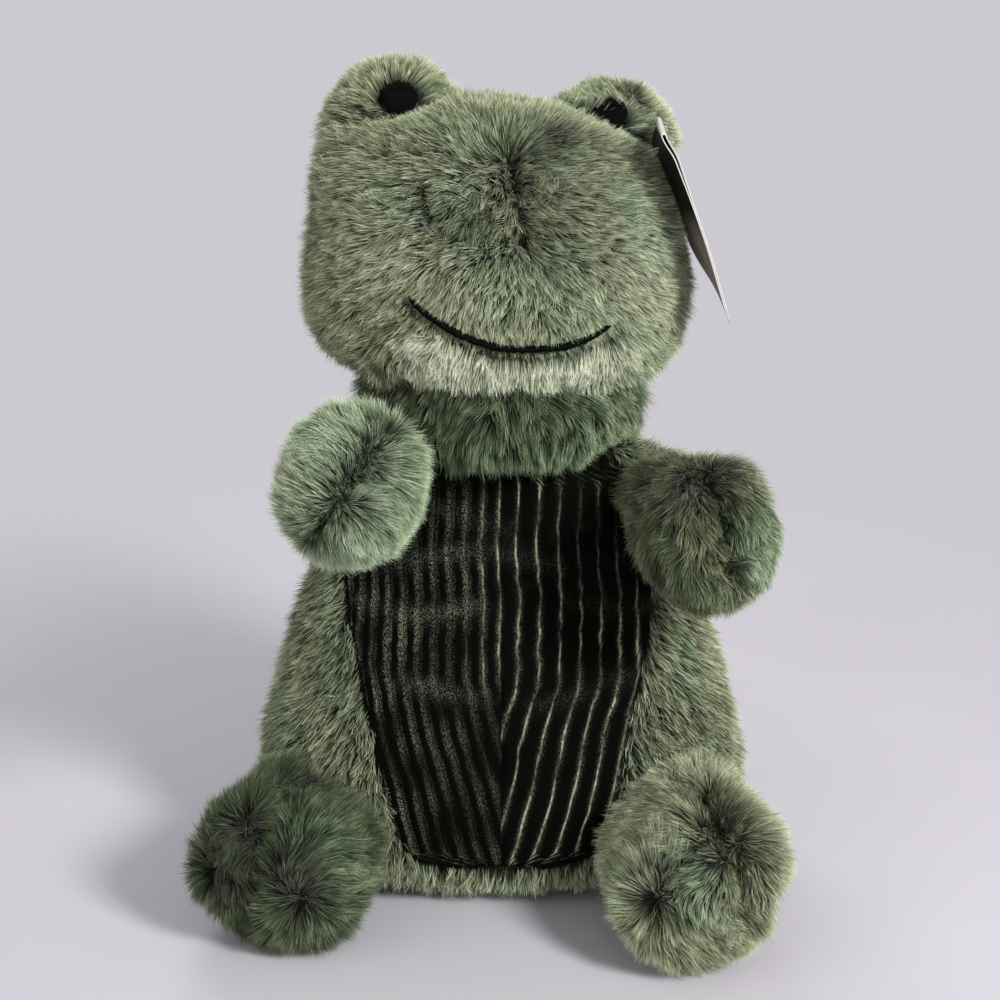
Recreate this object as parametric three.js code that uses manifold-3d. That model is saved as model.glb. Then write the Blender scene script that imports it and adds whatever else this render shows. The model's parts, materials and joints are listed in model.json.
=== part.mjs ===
// Sitting plush frog with a corduroy belly, in millimetres.
// The origin is the middle of the flat seat on the floor. +Z is up and the front faces -Y.
// Left and right are the frog's own, so left is +X.
import * as THREE from 'three';
import { mergeVertices } from 'three/addons/utils/BufferGeometryUtils.js';
import Module from 'manifold-3d';

const wasm = await Module();
wasm.setup();

// Cloth and clearances
const FUR_SKIN = 4;
const VELVET_SKIN = 2.5;
const SEAM_GAP = 0.35;
const LIMB_GAP = 0.65;
const CUT_OVERRUN = 60;

// Torso: a pear that leans back, cut flat at the seat and at the neck
const TORSO_HALF_WIDTH = 86.5;
const TORSO_FRONT_DEPTH = 57;
const TORSO_BACK_DEPTH = 52;
const TORSO_HEIGHT = 196;
const TORSO_LEAN = 20;
const NECK_SEAM_HEIGHT = 168;
const SEAT_FLAT_DEPTH = 0.5;
const PELLET_HEIGHT = 26;
const torsoWidthShares = [1.3, 1.08, 0.9, 0.74, 0.7];
const torsoDepthShares = [1.36, 1.1, 0.95, 0.8, 0.74];

// Belly panel: half widths and heights from its top to its round lower edge
const PANEL_HALF_WIDTH = 59;
const PANEL_BOTTOM = 17;
const panelWidthShares = [0.9, 0.98, 1, 0.9, 0.76, 0.66, 0.5];
const panelHeightShares = [1.1, 0.9, 0.72, 0.5, 0.27, 0.1, 0.02];

// Closing stitch up the middle of the back, between two shares of the torso's height
const STITCH_RADIUS = 0.7;
const STITCH_STEPS = 5;
const stitchEndShares = [0.3, 0.55];

// Neck: a barrel across the frog, so that the head can nod round it
const NECK_HEIGHT = 176;
const NECK_BACK_SET = 8;
const NECK_HALF_WIDTH = 54;
const NECK_TURN_RANGE = 20;
const NECK_RADIUS = 46;

// Head: sizes from the neck's middle
const HEAD_ROLL = 5;
const HEAD_TURN = 6;
const HEAD_SIDE_SET = -6;
const HEAD_HALF_WIDTH = 68.5;
const HEAD_FRONT_DEPTH = 52;
const HEAD_BACK_DEPTH = 50;
const HEAD_BOTTOM = 11;
const HEAD_TOP = 114;
const HEAD_SIDE_SEAM = 8;
const headWidthShares = [1.06, 1.03, 1, 0.98, 0.97];
const headDepthShares = [1, 1.03, 1, 0.95, 0.9];
const NOSE_DENT_DEPTH = 5;
const NOSE_DENT_HEIGHT = 66;
const NOSE_DENT_HALF_WIDTH = 12;
const NOSE_DENT_HALF_HEIGHT = 24;

// Mouth: an arc over the face, above the lower lip's panel
const MOUTH_HEIGHT = 35.5;
const MOUTH_RISE = 12;
const MOUTH_SLANT = 2.5;
const MOUTH_HALF_WIDTH = 35.5;
const MOUTH_THREAD_RADIUS = 1.4;
const MOUTH_STEPS = 12;
const LIP_SEAM_DROP = 2.4;

// Eyes
const EYE_SPACING = 81;
const EYE_RADIUS = 23;
const EYE_HEIGHT = 101.5;
const EYE_BACK_SET = 20;
const PUPIL_RADIUS = 7;
const PUPIL_RISE = 1.6;
const PUPIL_LIFT = 30;
const PUPIL_TURN = 7;

// Arms: each sits on a ball of the torso, and its hinge runs through the ball's middle.
// Turns are outwards, lifts are up from level, twists raise the outer side, all in degrees.
// Each limb's hinge range is from its highest place to its lowest, from rest.
const SHOULDER_SPACING = 112;
const SHOULDER_HEIGHT = 139;
const SHOULDER_BACK_SET = 8;
const SHOULDER_BALL_RADIUS = 23;
const ARM_LENGTH = 106;
const ARM_HALF_WIDTH = 22.5;
const ARM_HALF_HEIGHT = 27.5;
const ARM_VALLEY_DEPTH = 6;
const armWidthShares = [0.8, 0.78, 0.84, 1.02, 1.08];
const armSides = [
  { name: 'left_arm', side: 1, turn: 11, lift: 10, twist: 4, highest: -20, lowest: 25 },
  { name: 'right_arm', side: -1, turn: -4, lift: 22, twist: 27, highest: -3, lowest: 35 },
];

// Legs: the same build on the haunch balls
const HIP_SPACING = 114;
const HIP_HEIGHT = 35.5;
const HIP_FORWARD_SET = 8;
const HIP_BALL_RADIUS = 34;
const LEFT_LEG_LENGTH = 108;
const RIGHT_LEG_LENGTH = 94;
const LEG_HALF_WIDTH = 31;
const LEG_HALF_HEIGHT = 26.5;
const LEG_VALLEY_DEPTH = 7;
const legWidthShares = [0.96, 0.9, 0.92, 1.04, 1.08];
const legSides = [
  { name: 'left_leg', side: 1, turn: 9, lift: -3.6, twist: 50, length: LEFT_LEG_LENGTH },
  { name: 'right_leg', side: -1, turn: 19, lift: -7.6, twist: 20, length: RIGHT_LEG_LENGTH },
].map((leg) => ({ ...leg, highest: -25, lowest: 8 }));

// Hang tag: a folded card on a thin plastic bar
const TAG_LENGTH = 70;
const TAG_WIDTH = 42;
const TAG_CORNER_RADIUS = 5;
const TAG_CARD = 0.6;
const TAG_OPENING = 4;
const TAG_HOLE_RADIUS = 1.5;
const TAG_HOLE_DROP = 7;
const TAG_TILT = 21;
const TAG_TURN = -3;
const TAG_SIDE_SET = 47.6;
const TAG_FORWARD_SET = 24;
const TAG_HEIGHT = 106;
const BAR_RADIUS = 0.8;
const BAR_LENGTH = 26;
const BAR_HEAD_LENGTH = 8;

// How finely the forms are drawn
const FORM_ROWS = 11;
const FORM_SIDES = 24;
const INNER_ROWS = 7;
const INNER_SIDES = 14;
const LIMB_ROWS = 9;
const LIMB_SIDES = 18;
const SWEEP_STEPS = 6;
const INNER_LIMB_ROWS = 5;
const INNER_LIMB_SIDES = 10;
const BALL_SIDES = 16;
const BALL_ROWS = 8;
const INNER_BALL_SIDES = 8;
const NECK_SIDES = 24;
const THREAD_SEGMENTS = 4;
const ROD_SIDES = 12;
const OUTLINE_STEPS = 4;
const ROUND_POWER = 2.3;

const fur = new THREE.MeshStandardMaterial({ color: 0x6f7b62, roughness: 0.95, metalness: 0 });
const darkFur = new THREE.MeshStandardMaterial({ color: 0x4c5644, roughness: 0.95, metalness: 0 });
const paleFur = new THREE.MeshStandardMaterial({ color: 0x8a8d7d, roughness: 0.95, metalness: 0 });
const velvet = new THREE.MeshStandardMaterial({ color: 0x20211c, roughness: 0.8, metalness: 0 });
const blackThread = new THREE.MeshStandardMaterial({ color: 0x0d0e0c, roughness: 0.7, metalness: 0 });
const greenThread = new THREE.MeshStandardMaterial({ color: 0x3d4637, roughness: 0.8, metalness: 0 });
const fibre = new THREE.MeshStandardMaterial({ color: 0xe6e4dc, roughness: 1, metalness: 0 });
const pelletCloth = new THREE.MeshStandardMaterial({ color: 0xcfcabd, roughness: 0.9, metalness: 0 });
const card = new THREE.MeshStandardMaterial({ color: 0xb9b3b4, roughness: 0.6, metalness: 0 });
const clearPlastic = new THREE.MeshStandardMaterial({ color: 0xd9d9d9, roughness: 0.4, metalness: 0 });

const radians = THREE.MathUtils.degToRad;

// A value between the entries of a table of shares, on a smooth line
function shareAt(shares, place) {
  const stops = shares.map((share, index) => index / (shares.length - 1));
  const line = new THREE.CubicInterpolant(stops, shares, 1);
  return line.evaluate(THREE.MathUtils.clamp(place, 0, 1))[0];
}

// Cosine or sine of a rounded oval, between an ellipse and a box
function rounded(value) {
  return Math.sign(value) * Math.abs(value) ** (2 / ROUND_POWER);
}

// Width of a closed outline at a height share: full at the waist and zero at both ends
function roundShare(place, waistShare, lowPower, highPower) {
  const low = place < waistShare;
  const away = low ? 1 - place / waistShare : (place - waistShare) / (1 - waistShare);
  const power = low ? lowPower : highPower;
  return Math.max(0, 1 - away ** power) ** (1 / power);
}

// One closed geometry from a first tip, rings of equal counts and a last tip
function ringsGeometry(firstTip, rings, lastTip) {
  const sides = rings[0].length;
  const points = [firstTip, ...rings.flat(), lastTip];
  const faces = [];
  const at = (ring, side) => 1 + ring * sides + (side % sides);
  for (let side = 0; side < sides; side += 1) {
    faces.push(0, at(0, side + 1), at(0, side));
    faces.push(points.length - 1, at(rings.length - 1, side), at(rings.length - 1, side + 1));
    for (let ring = 0; ring < rings.length - 1; ring += 1) {
      faces.push(at(ring, side), at(ring, side + 1), at(ring + 1, side));
      faces.push(at(ring, side + 1), at(ring + 1, side + 1), at(ring + 1, side));
    }
  }
  const geometry = new THREE.BufferGeometry().setFromPoints(points);
  geometry.setIndex(faces);
  return geometry;
}

// Half width, depth and height of a standing form at a height share, drawn in by the inset
function formSizes(form, place, front, inset) {
  const spread = roundShare(place, form.waistShare, form.lowPower, form.highPower);
  const depth = front ? form.frontDepth : form.backDepth;
  return {
    width: (form.halfWidth * shareAt(form.widthShares, place) - inset) * spread,
    depth: (depth * shareAt(form.depthShares, place) - inset) * spread,
    height: THREE.MathUtils.lerp(form.bottom + inset, form.top - inset, place),
  };
}

// A point on a standing form at a height share and an angle round it
function formPoint(form, place, angle, inset) {
  const sizes = formSizes(form, place, Math.sin(angle) < 0, inset);
  const point = new THREE.Vector3(
    form.sideSet + sizes.width * rounded(Math.cos(angle)),
    form.lean * place + sizes.depth * rounded(Math.sin(angle)),
    sizes.height,
  );
  point.y += form.dentAt(point);
  return point;
}

// The point on a form's front at a place seen from the front
function frontPoint(form, across, height) {
  const place = (height - form.bottom) / (form.top - form.bottom);
  const sizes = formSizes(form, place, true, 0);
  const sideShare = Math.abs(across) / sizes.width;
  const depth = sizes.depth * (1 - sideShare ** ROUND_POWER) ** (1 / ROUND_POWER);
  const point = new THREE.Vector3(form.sideSet + across, form.lean * place - depth, height);
  point.y += form.dentAt(point);
  return point;
}

// A standing form as stacked rings, closer together at its ends
function standingForm(form, inset, fine) {
  const rows = fine ? FORM_ROWS : INNER_ROWS;
  const sides = fine ? FORM_SIDES : INNER_SIDES;
  const rings = [];
  for (let row = 0; row < rows; row += 1) {
    const place = (1 - Math.cos((Math.PI * (row + 0.5)) / rows)) / 2;
    const ring = [];
    for (let side = 0; side < sides; side += 1) {
      ring.push(formPoint(form, place, (2 * Math.PI * side) / sides, inset));
    }
    rings.push(ring);
  }
  return ringsGeometry(formPoint(form, 0, 0, inset), rings, formPoint(form, 1, 0, inset));
}

// A limb along -Y from its pivot: a sausage whose round end has two valleys between three lobes
function limbForm(limb, inset, fine) {
  const rows = fine ? LIMB_ROWS : INNER_LIMB_ROWS;
  const sides = fine ? LIMB_SIDES : INNER_LIMB_SIDES;
  const reach = limb.length - inset;
  const roundFromShare = 0.68;
  const valleyFromShare = 0.3;
  const valleySideShare = 0.38;
  const valleyWidthShare = 0.15;
  const rings = [];
  for (let row = 1; row < rows; row += 1) {
    const place = Math.sin((Math.PI / 2) * (row / rows));
    const endShare = roundShare(Math.max(place, roundFromShare), roundFromShare, 2, ROUND_POWER);
    const swell = shareAt(limb.widthShares, place);
    const nearEnd = THREE.MathUtils.smoothstep(place, valleyFromShare, 1);
    const ring = [];
    for (let side = 0; side < sides; side += 1) {
      const angle = (2 * Math.PI * side) / sides;
      const across = endShare * rounded(Math.cos(angle));
      const fold = Math.exp(-(((Math.abs(across) - valleySideShare) / valleyWidthShare) ** 2));
      const dent = limb.valleyDepth * fold * nearEnd;
      const upward = endShare * rounded(Math.sin(angle));
      ring.push(new THREE.Vector3(
        across * (limb.halfWidth * swell - inset),
        -reach * place + dent * (1 - endShare),
        upward * (limb.halfHeight * swell - inset - dent),
      ));
    }
    rings.push(ring);
  }
  const form = ringsGeometry(new THREE.Vector3(0, 0, 0), rings, new THREE.Vector3(0, -reach, 0));
  form.scale(1, 1, -1);
  form.index.array.reverse();
  form.rotateY(-limb.side * radians(limb.twist));
  return form;
}

// A closed solid for joining and cutting, in the part's frame
function solidOf(geometry, group) {
  const bare = geometry.clone();
  if (group) {
    group.updateWorldMatrix(true, false);
    bare.applyMatrix4(group.matrixWorld);
  }
  bare.deleteAttribute('normal');
  bare.deleteAttribute('uv');
  const merged = mergeVertices(bare);
  return new wasm.Manifold(new wasm.Mesh({
    numProp: 3,
    vertProperties: new Float32Array(merged.attributes.position.array),
    triVerts: new Uint32Array(merged.index.array),
  }));
}

// Adds a solid of the part's frame to a group as a named mesh
function addPiece(group, name, solid, material) {
  const shape = solid.getMesh();
  const geometry = new THREE.BufferGeometry();
  geometry.setAttribute('position', new THREE.BufferAttribute(shape.vertProperties, 3));
  geometry.setIndex(new THREE.BufferAttribute(shape.triVerts, 1));
  group.updateWorldMatrix(true, false);
  geometry.applyMatrix4(group.matrixWorld.clone().invert());
  geometry.computeVertexNormals();
  const mesh = new THREE.Mesh(geometry, material);
  mesh.name = name;
  group.add(mesh);
}

// A block that fills everything above (1) or below (-1) a height
function halfSpace(height, side) {
  const span = 2 * TORSO_HEIGHT;
  const block = new THREE.BoxGeometry(span, span, span);
  block.translate(0, 0, height + (side * span) / 2);
  return block;
}

// A ball or barrel round the X axis, so that its faces follow a turn about that axis
function barrel(halfWidth, radius, sides = BALL_SIDES) {
  const form = new THREE.SphereGeometry(1, sides, BALL_ROWS);
  form.rotateZ(Math.PI / 2);
  form.scale(halfWidth, radius, radius);
  return form;
}

// The same barrel with its flat faces a seam gap outside the round one
function barrelSocket(halfWidth, radius, sides = BALL_SIDES) {
  const grown = 1 / Math.cos(Math.PI / sides);
  return barrel((halfWidth + SEAM_GAP) * grown, (radius + SEAM_GAP) * grown, sides);
}

function threadForm(points, radius) {
  const section = new THREE.Shape();
  section.absarc(0, 0, radius, 0, 2 * Math.PI);
  return new THREE.ExtrudeGeometry(section, {
    extrudePath: new THREE.CatmullRomCurve3(points),
    steps: points.length - 1,
    curveSegments: THREAD_SEGMENTS,
  });
}

// A block from an outline seen from the front, through the front half of a form
function frontBlock(outline, depth) {
  const block = new THREE.ExtrudeGeometry(outline, {
    depth,
    bevelEnabled: false,
    curveSegments: OUTLINE_STEPS,
  });
  block.rotateX(Math.PI / 2);
  return block;
}

function pivot(parent, x, y, z) {
  const group = new THREE.Group();
  group.position.set(x, y, z);
  parent.add(group);
  return group;
}

function limbPivot(limb, spacing, forward, height) {
  const group = pivot(frog, (limb.side * spacing) / 2, -forward, height);
  group.rotation.set(-radians(limb.lift), 0, limb.side * radians(limb.turn), 'ZXY');
  return group;
}

// The tree of groups: the origin of each is the pivot of its body
const frog = new THREE.Group();
const neck = pivot(frog, 0, NECK_BACK_SET, NECK_HEIGHT);
const head = pivot(neck, 0, 0, 0);
head.rotation.set(0, radians(HEAD_ROLL), radians(HEAD_TURN), 'YXZ');
const tag = pivot(head, TAG_SIDE_SET, -TAG_FORWARD_SET, TAG_HEIGHT);
tag.rotation.set(0, -radians(TAG_TILT + HEAD_ROLL), radians(TAG_TURN - HEAD_TURN), 'ZXY');
const armPivots = armSides.map((arm) => (
  limbPivot(arm, SHOULDER_SPACING, -SHOULDER_BACK_SET, SHOULDER_HEIGHT)));
const legPivots = legSides.map((leg) => limbPivot(leg, HIP_SPACING, HIP_FORWARD_SET, HIP_HEIGHT));

const floorBlock = solidOf(halfSpace(0, -1));

// Torso: the leaning pear with a ball for each limb to sit on
const torsoForm = {
  bottom: -SEAT_FLAT_DEPTH,
  top: TORSO_HEIGHT,
  waistShare: 0.42,
  lowPower: 3.4,
  highPower: 2.6,
  halfWidth: TORSO_HALF_WIDTH,
  frontDepth: TORSO_FRONT_DEPTH,
  backDepth: TORSO_BACK_DEPTH,
  widthShares: torsoWidthShares,
  depthShares: torsoDepthShares,
  sideSet: 0,
  lean: TORSO_LEAN,
  dentAt: () => 0,
};

function torsoSolid(inset, fine) {
  const ballSides = fine ? BALL_SIDES : INNER_BALL_SIDES;
  const ballOf = (radius) => (group) => solidOf(barrel(radius, radius, ballSides), group);
  return [
    ...armPivots.map(ballOf(SHOULDER_BALL_RADIUS - inset)),
    ...legPivots.map(ballOf(HIP_BALL_RADIUS - inset)),
  ]
    .reduce((whole, ball) => whole.add(ball), solidOf(standingForm(torsoForm, inset, fine)))
    .subtract(solidOf(halfSpace(NECK_SEAM_HEIGHT, 1)))
    .subtract(solidOf(halfSpace(Math.max(inset, 0), -1)));
}

function panelBlock(inset) {
  const rightEdge = panelWidthShares.map((share, index) => new THREE.Vector2(
    share * PANEL_HALF_WIDTH - inset,
    PANEL_BOTTOM + inset + panelHeightShares[index] * (NECK_SEAM_HEIGHT - PANEL_BOTTOM),
  ));
  const leftEdge = rightEdge.map((point) => new THREE.Vector2(-point.x, point.y)).reverse();
  const outline = new THREE.Shape();
  outline.moveTo(rightEdge[0].x, rightEdge[0].y);
  outline.splineThru(rightEdge.slice(1));
  outline.quadraticCurveTo(0, PANEL_BOTTOM + inset, leftEdge[0].x, leftEdge[0].y);
  outline.splineThru(leftEdge.slice(1));
  return solidOf(frontBlock(outline, TORSO_FRONT_DEPTH + CUT_OVERRUN));
}

const stitchPath = [];
for (let step = 0; step <= STITCH_STEPS; step += 1) {
  const place = THREE.MathUtils.lerp(stitchEndShares[0], stitchEndShares[1], step / STITCH_STEPS);
  stitchPath.push(formPoint(torsoForm, place, Math.PI / 2, 0));
}

const velvetInner = 2 * VELVET_SKIN;
const torsoStuffing = torsoSolid(velvetInner + SEAM_GAP, false);

addPiece(frog, 'torso_skin', torsoSolid(0, true)
  .subtract(torsoSolid(FUR_SKIN, false))
  .subtract(panelBlock(0))
  .subtract(solidOf(threadForm(stitchPath, STITCH_RADIUS + SEAM_GAP))), fur);
addPiece(frog, 'belly_panel', torsoSolid(VELVET_SKIN, true)
  .subtract(torsoSolid(velvetInner, false))
  .intersect(panelBlock(SEAM_GAP)), velvet);
addPiece(frog, 'torso_stuffing', torsoStuffing
  .subtract(solidOf(halfSpace(PELLET_HEIGHT + SEAM_GAP, -1))), fibre);
addPiece(frog, 'pellet_bag', torsoStuffing
  .subtract(solidOf(halfSpace(PELLET_HEIGHT, 1))), pelletCloth);
addPiece(frog, 'closing_stitch', solidOf(threadForm(stitchPath, STITCH_RADIUS)), greenThread);

// Limbs: each is cut by its ball, by the floor and by the torso and neck wherever a joint
// takes them
const neckSocket = solidOf(barrelSocket(NECK_HALF_WIDTH, NECK_RADIUS, NECK_SIDES), head);
const neckTurns = [-NECK_TURN_RANGE, 0, NECK_TURN_RANGE].map((turn) => {
  const back = new THREE.Matrix4().makeTranslation(0, -NECK_BACK_SET, 0);
  const matrix = back.clone().invert()
    .multiply(new THREE.Matrix4().makeRotationZ(radians(turn)))
    .multiply(back);
  return neckSocket.transform(matrix.toArray());
});
const pearClearance = solidOf(standingForm(torsoForm, -LIMB_GAP, true))
  .subtract(solidOf(halfSpace(NECK_SEAM_HEIGHT, 1)));
const torsoClearance = neckTurns
  .map((socket) => socket.subtract(solidOf(halfSpace(NECK_SEAM_HEIGHT, -1))))
  .reduce((whole, next) => whole.add(next), pearClearance);

function sweptTorso(group, limb) {
  const toPart = group.matrixWorld;
  const toGroup = toPart.clone().invert();
  const turns = [0];
  for (let step = 0; step <= SWEEP_STEPS; step += 1) {
    turns.push(THREE.MathUtils.lerp(limb.highest, limb.lowest, step / SWEEP_STEPS));
  }
  return turns.map((turn) => {
    const turned = new THREE.Matrix4().makeRotationX(-radians(turn));
    const matrix = toPart.clone().multiply(turned).multiply(toGroup);
    return torsoClearance.transform(matrix.toArray());
  });
}

function addLimb(group, limb) {
  const cutters = [
    solidOf(barrelSocket(limb.ballRadius, limb.ballRadius), group),
    floorBlock,
    ...sweptTorso(group, limb),
  ];
  const cut = (form) => cutters.reduce((rest, cutter) => rest.subtract(cutter), solidOf(form, group));
  const outer = cut(limbForm(limb, 0, true));
  const hollow = solidOf(limbForm(limb, FUR_SKIN, false), group)
    .subtract(solidOf(halfSpace(FUR_SKIN, -1)));
  const filling = cut(limbForm(limb, FUR_SKIN + SEAM_GAP, false))
    .subtract(solidOf(halfSpace(FUR_SKIN + SEAM_GAP, -1)));
  addPiece(group, `${limb.name}_skin`, outer.subtract(hollow), fur);
  addPiece(group, `${limb.name}_stuffing`, filling, fibre);
}

armSides.forEach((arm, index) => addLimb(armPivots[index], {
  ...arm,
  ballRadius: SHOULDER_BALL_RADIUS,
  length: ARM_LENGTH,
  halfWidth: ARM_HALF_WIDTH,
  halfHeight: ARM_HALF_HEIGHT,
  valleyDepth: ARM_VALLEY_DEPTH,
  widthShares: armWidthShares,
}));

legSides.forEach((leg, index) => addLimb(legPivots[index], {
  ...leg,
  ballRadius: HIP_BALL_RADIUS,
  halfWidth: LEG_HALF_WIDTH,
  halfHeight: LEG_HALF_HEIGHT,
  valleyDepth: LEG_VALLEY_DEPTH,
  widthShares: legWidthShares,
}));

// Neck: the barrel above the torso's flat top
const neckFloor = solidOf(halfSpace(NECK_SEAM_HEIGHT + SEAM_GAP, -1));

function neckSolid(inset, sides) {
  const form = barrel(NECK_HALF_WIDTH - inset, NECK_RADIUS - inset, sides);
  return solidOf(form, head).subtract(neckFloor);
}

const neckShell = neckSolid(0, NECK_SIDES).subtract(neckSolid(FUR_SKIN, INNER_BALL_SIDES));
addPiece(neck, 'neck_skin', neckShell, darkFur);
addPiece(neck, 'neck_stuffing', neckSolid(FUR_SKIN + SEAM_GAP, INNER_BALL_SIDES), fibre);

// Head: one round form, hollowed for the neck
const headForm = {
  bottom: HEAD_BOTTOM,
  top: HEAD_TOP,
  waistShare: 0.44,
  lowPower: 3.2,
  highPower: 2.8,
  halfWidth: HEAD_HALF_WIDTH,
  frontDepth: HEAD_FRONT_DEPTH,
  backDepth: HEAD_BACK_DEPTH,
  widthShares: headWidthShares,
  depthShares: headDepthShares,
  sideSet: HEAD_SIDE_SET,
  lean: 0,
  dentAt: (point) => {
    const across = (point.x - HEAD_SIDE_SET) / NOSE_DENT_HALF_WIDTH;
    const upward = (point.z - NOSE_DENT_HEIGHT) / NOSE_DENT_HALF_HEIGHT;
    return point.y < 0 ? NOSE_DENT_DEPTH * Math.exp(-(across ** 2) - upward ** 2) : 0;
  },
};

const headSolid = (inset, fine) => solidOf(standingForm(headForm, inset, fine), head);
const headShell = headSolid(0, true).subtract(headSolid(FUR_SKIN, false)).subtract(neckSocket);

const mouthPath = [];
for (let step = 0; step <= MOUTH_STEPS; step += 1) {
  const share = (2 * step) / MOUTH_STEPS - 1;
  const height = MOUTH_HEIGHT + MOUTH_RISE * share ** 2 - MOUTH_SLANT * share;
  mouthPath.push(frontPoint(headForm, share * MOUTH_HALF_WIDTH, height));
}

// The lip's panel starts just under the mouth and runs down to the neck
function lipBlock(inset) {
  const outline = new THREE.Shape();
  const halfWidth = MOUTH_HALF_WIDTH - inset;
  const rim = mouthPath.map((point) => new THREE.Vector2(
    HEAD_SIDE_SET + ((point.x - HEAD_SIDE_SET) * halfWidth) / MOUTH_HALF_WIDTH,
    point.z - LIP_SEAM_DROP - inset,
  ));
  outline.moveTo(HEAD_SIDE_SET - halfWidth, -CUT_OVERRUN);
  outline.lineTo(HEAD_SIDE_SET + halfWidth, -CUT_OVERRUN);
  rim.reverse().forEach((point) => outline.lineTo(point.x, point.y));
  return solidOf(frontBlock(outline, HEAD_FRONT_DEPTH + CUT_OVERRUN), head);
}

// Everything in front of (-1) or behind (1) the seam round the sides of the head
function headHalf(side) {
  const span = 2 * (HEAD_HALF_WIDTH + CUT_OVERRUN);
  const block = new THREE.BoxGeometry(span, span, span);
  block.translate(0, HEAD_SIDE_SEAM + side * ((span + SEAM_GAP) / 2), 0);
  return solidOf(block, head);
}

const mouthGroove = solidOf(threadForm(mouthPath, MOUTH_THREAD_RADIUS + SEAM_GAP), head);

// The bar that carries the tag: its root is in the face and its head is outside the card
function barShaft(radius, length) {
  const outEnd = TAG_CARD + SEAM_GAP + BAR_RADIUS;
  const shaft = new THREE.CylinderGeometry(radius, radius, length + outEnd, ROD_SIDES);
  shaft.rotateZ(Math.PI / 2);
  shaft.translate((outEnd - length) / 2, 0, 0);
  return solidOf(shaft, tag);
}

const barHole = barShaft(BAR_RADIUS + SEAM_GAP, BAR_LENGTH + SEAM_GAP);

addPiece(head, 'face_skin', headShell
  .intersect(headHalf(-1))
  .subtract(lipBlock(0))
  .subtract(mouthGroove)
  .subtract(barHole), fur);
addPiece(head, 'lip_skin', headShell.intersect(lipBlock(SEAM_GAP)).subtract(mouthGroove), paleFur);
addPiece(head, 'head_back_skin', headShell.intersect(headHalf(1)), fur);
addPiece(head, 'head_stuffing', headSolid(FUR_SKIN + SEAM_GAP, false)
  .subtract(neckSocket)
  .subtract(mouthGroove)
  .subtract(barHole), fibre);
addPiece(head, 'mouth_stitch', solidOf(threadForm(mouthPath, MOUTH_THREAD_RADIUS), head), blackThread);

// Eyes: domes that sit on the head, each with a flat embroidered pupil
const headClearance = headSolid(-SEAM_GAP, true);

[1, -1].forEach((side) => {
  const word = side > 0 ? 'left' : 'right';
  const eye = pivot(head, HEAD_SIDE_SET + (side * EYE_SPACING) / 2, EYE_BACK_SET, EYE_HEIGHT);
  eye.rotation.z = -radians(HEAD_TURN);
  const ball = (radius, sides) => solidOf(barrel(radius, radius, sides), eye);
  const disc = new THREE.CylinderGeometry(PUPIL_RADIUS, PUPIL_RADIUS, EYE_RADIUS * 2, BALL_SIDES);
  disc.translate(0, -EYE_RADIUS, 0);
  disc.rotateX(-radians(PUPIL_LIFT));
  disc.rotateZ(-side * radians(PUPIL_TURN));
  addPiece(eye, `${word}_eye_dome`, ball(EYE_RADIUS)
    .subtract(ball(EYE_RADIUS - FUR_SKIN, INNER_BALL_SIDES))
    .subtract(headClearance), fur);
  addPiece(eye, `${word}_eye_stuffing`, ball(EYE_RADIUS - FUR_SKIN - SEAM_GAP, INNER_BALL_SIDES)
    .subtract(headClearance), fibre);
  addPiece(eye, `${word}_pupil`, ball(EYE_RADIUS + SEAM_GAP + PUPIL_RISE)
    .subtract(ball(EYE_RADIUS + SEAM_GAP))
    .intersect(solidOf(disc, eye))
    .subtract(headClearance), blackThread);
});

// Tag: one card folded along its top edge, with round lower corners and a hole for the bar
const tagTop = TAG_HOLE_DROP;
const tagBottom = TAG_HOLE_DROP - TAG_LENGTH;

const foldOutline = new THREE.Shape();
foldOutline.moveTo(TAG_CARD, tagTop);
foldOutline.lineTo(-TAG_CARD, tagTop);
foldOutline.lineTo(-TAG_OPENING - TAG_CARD, tagBottom);
foldOutline.lineTo(-TAG_OPENING, tagBottom);
foldOutline.lineTo(0, tagTop - 2 * TAG_CARD);
foldOutline.lineTo(0, tagBottom);
foldOutline.lineTo(TAG_CARD, tagBottom);
const folded = new THREE.ExtrudeGeometry(foldOutline, { depth: TAG_WIDTH, bevelEnabled: false });
folded.rotateX(Math.PI / 2);
folded.translate(0, TAG_WIDTH / 2, 0);

const cardOutline = new THREE.Shape();
const cardEdge = TAG_WIDTH / 2;
cardOutline.moveTo(-cardEdge, tagTop);
cardOutline.lineTo(-cardEdge, tagBottom + TAG_CORNER_RADIUS);
cardOutline.absarc(TAG_CORNER_RADIUS - cardEdge, tagBottom + TAG_CORNER_RADIUS,
  TAG_CORNER_RADIUS, Math.PI, Math.PI * 1.5);
cardOutline.absarc(cardEdge - TAG_CORNER_RADIUS, tagBottom + TAG_CORNER_RADIUS,
  TAG_CORNER_RADIUS, Math.PI * 1.5, Math.PI * 2);
cardOutline.lineTo(cardEdge, tagTop);
const cardDepth = 2 * (TAG_OPENING + TAG_WIDTH);
const cardBlock = new THREE.ExtrudeGeometry(cardOutline, {
  depth: cardDepth,
  bevelEnabled: false,
  curveSegments: OUTLINE_STEPS,
});
cardBlock.translate(0, 0, -cardDepth / 2);
cardBlock.rotateX(Math.PI / 2);
cardBlock.rotateZ(Math.PI / 2);

const hole = new THREE.CylinderGeometry(TAG_HOLE_RADIUS, TAG_HOLE_RADIUS, cardDepth, ROD_SIDES);
hole.rotateZ(Math.PI / 2);

const barHead = new THREE.CylinderGeometry(BAR_RADIUS, BAR_RADIUS, BAR_HEAD_LENGTH, ROD_SIDES);
barHead.translate(TAG_CARD + SEAM_GAP + BAR_RADIUS, 0, 0);

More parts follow.
